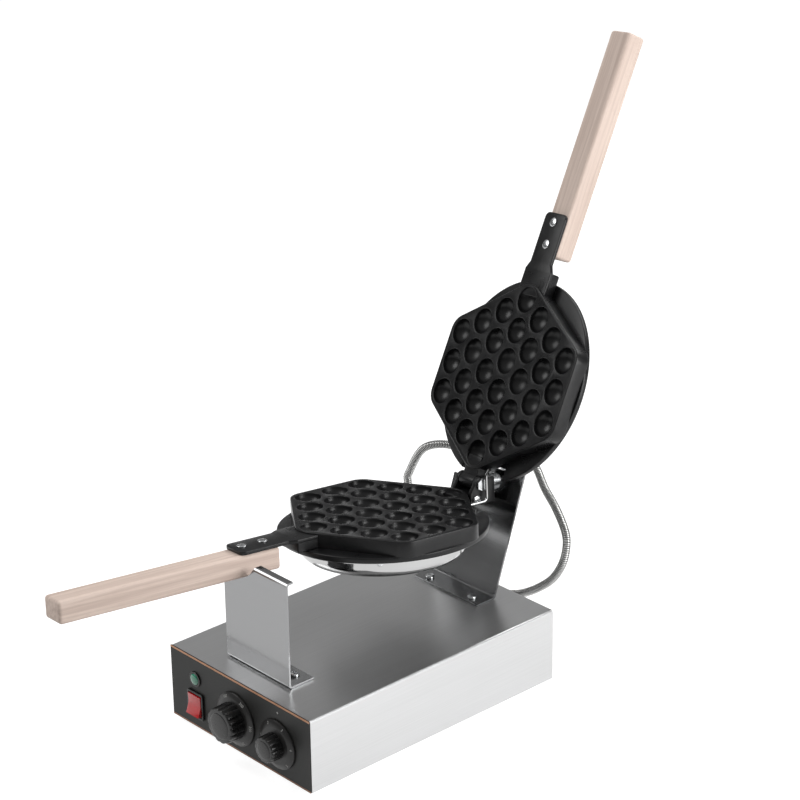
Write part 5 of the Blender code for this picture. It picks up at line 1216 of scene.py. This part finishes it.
rocker_outline += arc((0, 0), ROCKER_HALF, 180, 360, 24)[1:-1]
place(
    plate(rocker_outline, ROCKER_W, EDGE), "red_rocker_cap", RED, "switch_rocker",
    Matrix.Translation(switch_at) @ Matrix.Rotation(-ROCKER_TILT, 4, "X") @ ROCKER_VIEW,
    ["rocker"],
)
print("panel pieces placed")

# %% Knobs
DIAL_T, DIAL_EDGE_T, DIAL_FLAT_SHARE = 0.0042, 0.0018, 0.76
GRIP_FLUTES, GRIP_FLUTE, GRIP_EASE = 14, 0.0011, 0.0012
FLUTE_STEPS, FLUTE_ROUNDNESS, CAP_SHARE = 10, 0.7, 0.72
GRIP_LEVELS = (          # share of the grip's length, and its width there
    (0, 1), (0.5, 0.985), (0.86, 0.97), (0.94, 0.955), (0.985, 0.93), (1.0, 0.88),
)
NUMBER_H, NUMBER_T = 0.0042, 0.00012
# Each knob's dial radius, grip radius and length, numbers, and where they start and end
KNOBS = {
    "thermostat": (0.0285, 0.0195, 0.0175, [str(n) for n in range(50, 301, 50)], -150, 150),
    "timer": (0.0262, 0.0140, 0.0140, [str(n) for n in range(0, 6)], -135, 135),
}


def number_ring(numbers, start, end, dial_r, grip_r):
    """The dial's numbers as thin raised print on its sloping edge, read from outside."""
    flat_r = dial_r * DIAL_FLAT_SHARE
    middle_r = (max(flat_r, grip_r) + dial_r) / 2
    slope = math.atan2(DIAL_T - DIAL_EDGE_T, dial_r - flat_r)
    height = DIAL_T - (middle_r - flat_r) * math.tan(slope)
    pieces = []
    for i, text in enumerate(numbers):
        curve = bpy.data.curves.new("number", "FONT")
        curve.body = text
        curve.size = NUMBER_H
        curve.extrude = NUMBER_T / 2
        curve.resolution_u = 3
        curve.align_x, curve.align_y = "CENTER", "CENTER"
        mesh = mesh_of(bpy.data.objects.new("number", curve))
        angle = math.radians(start + (end - start) * i / (len(numbers) - 1))
        spun, leaning = Matrix.Rotation(-angle, 4, "Z"), Matrix.Rotation(-slope, 4, "X")
        pieces.append((mesh, spun @ at(0, middle_r, height) @ leaning))
    return gathered(pieces)


def grip_mesh(grip_r, grip_l):
    """A fluted grip: rounded ridges that narrow a little to the front, and a domed cap."""
    around = GRIP_FLUTES * FLUTE_STEPS
    rings = []
    for share, wide in GRIP_LEVELS:
        ring = []
        for i in range(around):
            turn = 2 * math.pi * i / around
            ridge = abs(math.cos(GRIP_FLUTES * turn / 2)) ** FLUTE_ROUNDNESS
            radius = (grip_r - GRIP_FLUTE * (1 - ridge)) * wide
            ring.append((radius * math.cos(turn), radius * math.sin(turn), grip_l * share))
        rings.append(ring)
    cap_r = grip_r * CAP_SHARE
    cap = turned(dome(cap_r, GRIP_EASE) + [(cap_r, -GRIP_EASE), (0, -GRIP_EASE)], ROUND)
    return joined(skinned(rings), add=[(cap, at(0, 0, grip_l))])


for control, (dial_r, grip_r, grip_l, numbers, start, end) in KNOBS.items():
    joint = joints[control + "_turn"]
    place_here = Matrix.Translation(Vector(joint["pos_m"])) @ FACING_FRONT @ at(0, 0, GAP)
    flat_r = dial_r * DIAL_FLAT_SHARE
    dial = turned([
        (0, DIAL_T), (flat_r - EDGE, DIAL_T), (flat_r + EDGE, DIAL_T - EDGE / 3),
        (dial_r - EDGE, DIAL_EDGE_T + EDGE / 3), (dial_r, DIAL_EDGE_T - EDGE), (dial_r, 0), (0, 0),
    ], WIDE)
    place(dial, control + "_dial", DIAL, control, place_here, [control + "_knob"])
    place(grip_mesh(grip_r, grip_l), control + "_grip", BLACK, control,
          place_here @ at(0, 0, DIAL_T))
    place(number_ring(numbers, start, end, dial_r, grip_r), control + "_numbers", PRINT, control,
          place_here)
print("knobs placed")

# %% [markdown]
# ## Floor, light and background
#
# The photograph was taken on white, under large soft lights: one high on the left, one on the
# right that leaves the box's side almost white, and a weak one behind. Polished steel is
# mostly a picture of its surroundings, so the room is dark at the horizon and brighter
# overhead, and only camera rays see it as plain white. The floor glows for camera rays and in
# reflections, just so much that it comes out white and still keeps a faint shadow.

# %% Light the object
# Each light's place, the point that it faces, its size and its power in watts
LIGHTS = {
    "high_left_light": ((-1.1, -0.9, 1.5), (0, 0, 0.15), (1.0, 1.0), 14),
    "right_light": ((1.5, 0.5, 0.7), (0, 0, 0.15), (0.9, 0.9), 20),
    "rear_light": ((0.0, 1.4, 1.3), (0, 0, 0.2), (1.2, 0.6), 10),
}
for name, (place_of, target, size, power) in LIGHTS.items():
    light = bpy.data.lights.new(name, "AREA")
    light.shape = "RECTANGLE"
    light.size, light.size_y = size
    light.energy = power
    lamp = bpy.data.objects.new(name, light)
    bpy.context.scene.collection.objects.link(lamp)
    lamp.location = place_of
    lamp.rotation_euler = (Vector(target) - Vector(place_of)).to_track_quat("-Z", "Y").to_euler()
print("lights", len(LIGHTS))

# %% Surround it with a room
# The room's grey level from straight down, at 0, over the horizon, at 0.5, to overhead, at 1
ROOM_STEPS = ((0.0, 0.30), (0.42, 0.25), (0.50, 0.07), (0.58, 0.12), (0.74, 0.38), (1.0, 0.55))

world = bpy.data.worlds.new("white_room")
bpy.context.scene.world = world
world.use_nodes = True
tree = world.node_tree
room = tree.nodes["Background"]
where = linked(tree, "ShaderNodeTexCoord")
height_of = linked(tree, "ShaderNodeSeparateXYZ", _0=where.outputs["Generated"])
lift = linked(tree, "ShaderNodeMath", {"operation": "MULTIPLY_ADD", "use_clamp": True},
              _0=height_of.outputs[2], _1=0.5, _2=0.5)
ramp = linked(tree, "ShaderNodeValToRGB", _0=lift.outputs[0])
while len(ramp.color_ramp.elements) < len(ROOM_STEPS):
    ramp.color_ramp.elements.new(0.5)
for element, (position, value) in zip(ramp.color_ramp.elements, ROOM_STEPS):
    element.position = position
    element.color = (value, value, value, 1)
tree.links.new(ramp.outputs[0], room.inputs["Color"])
plain = linked(tree, "ShaderNodeBackground", Color=(1, 1, 1, 1))
rays = linked(tree, "ShaderNodeLightPath")
mix = linked(tree, "ShaderNodeMixShader", _0=rays.outputs["Is Camera Ray"],
             _1=room.outputs[0], _2=plain.outputs[0])
tree.links.new(mix.outputs[0], tree.nodes["World Output"].inputs["Surface"])
print("room steps", len(ROOM_STEPS))

# %% Lay the floor
FLOOR, FLOOR_GREY, FLOOR_ROUGHNESS, FLOOR_GLOW = 30.0, 0.5, 0.9, 0.8

half = FLOOR / 2
floor_mesh = bpy.data.meshes.new("floor")
floor_mesh.from_pydata(
    [(-half, -half, 0), (half, -half, 0), (half, half, 0), (-half, half, 0)], [], [(0, 1, 2, 3)],
)
floor_mat = bpy.data.materials.new("white_floor")
floor_mat.use_nodes = True
tree = floor_mat.node_tree
surface = tree.nodes["Principled BSDF"]
surface.inputs["Base Color"].default_value = (FLOOR_GREY, FLOOR_GREY, FLOOR_GREY, 1)
surface.inputs["Roughness"].default_value = FLOOR_ROUGHNESS
surface.inputs["Specular IOR Level"].default_value = 0.0
surface.inputs["Emission Color"].default_value = (1, 1, 1, 1)
rays = linked(tree, "ShaderNodeLightPath")
mirrored = linked(tree, "ShaderNodeMath", {"operation": "ADD"},
                  _0=rays.outputs["Is Camera Ray"], _1=rays.outputs["Is Glossy Ray"])
all_three = linked(tree, "ShaderNodeMath", {"operation": "ADD"},
                   _0=mirrored.outputs[0], _1=rays.outputs["Is Transmission Ray"])
glow = linked(tree, "ShaderNodeMath", {"operation": "MULTIPLY"},
              _0=all_three.outputs[0], _1=FLOOR_GLOW)
tree.links.new(glow.outputs[0], surface.inputs["Emission Strength"])
floor_mesh.materials.append(floor_mat)
floor = bpy.data.objects.new("floor", floor_mesh)
bpy.context.scene.collection.objects.link(floor)
bpy.context.scene.view_settings.view_transform = "Standard"
print("floor", FLOOR)
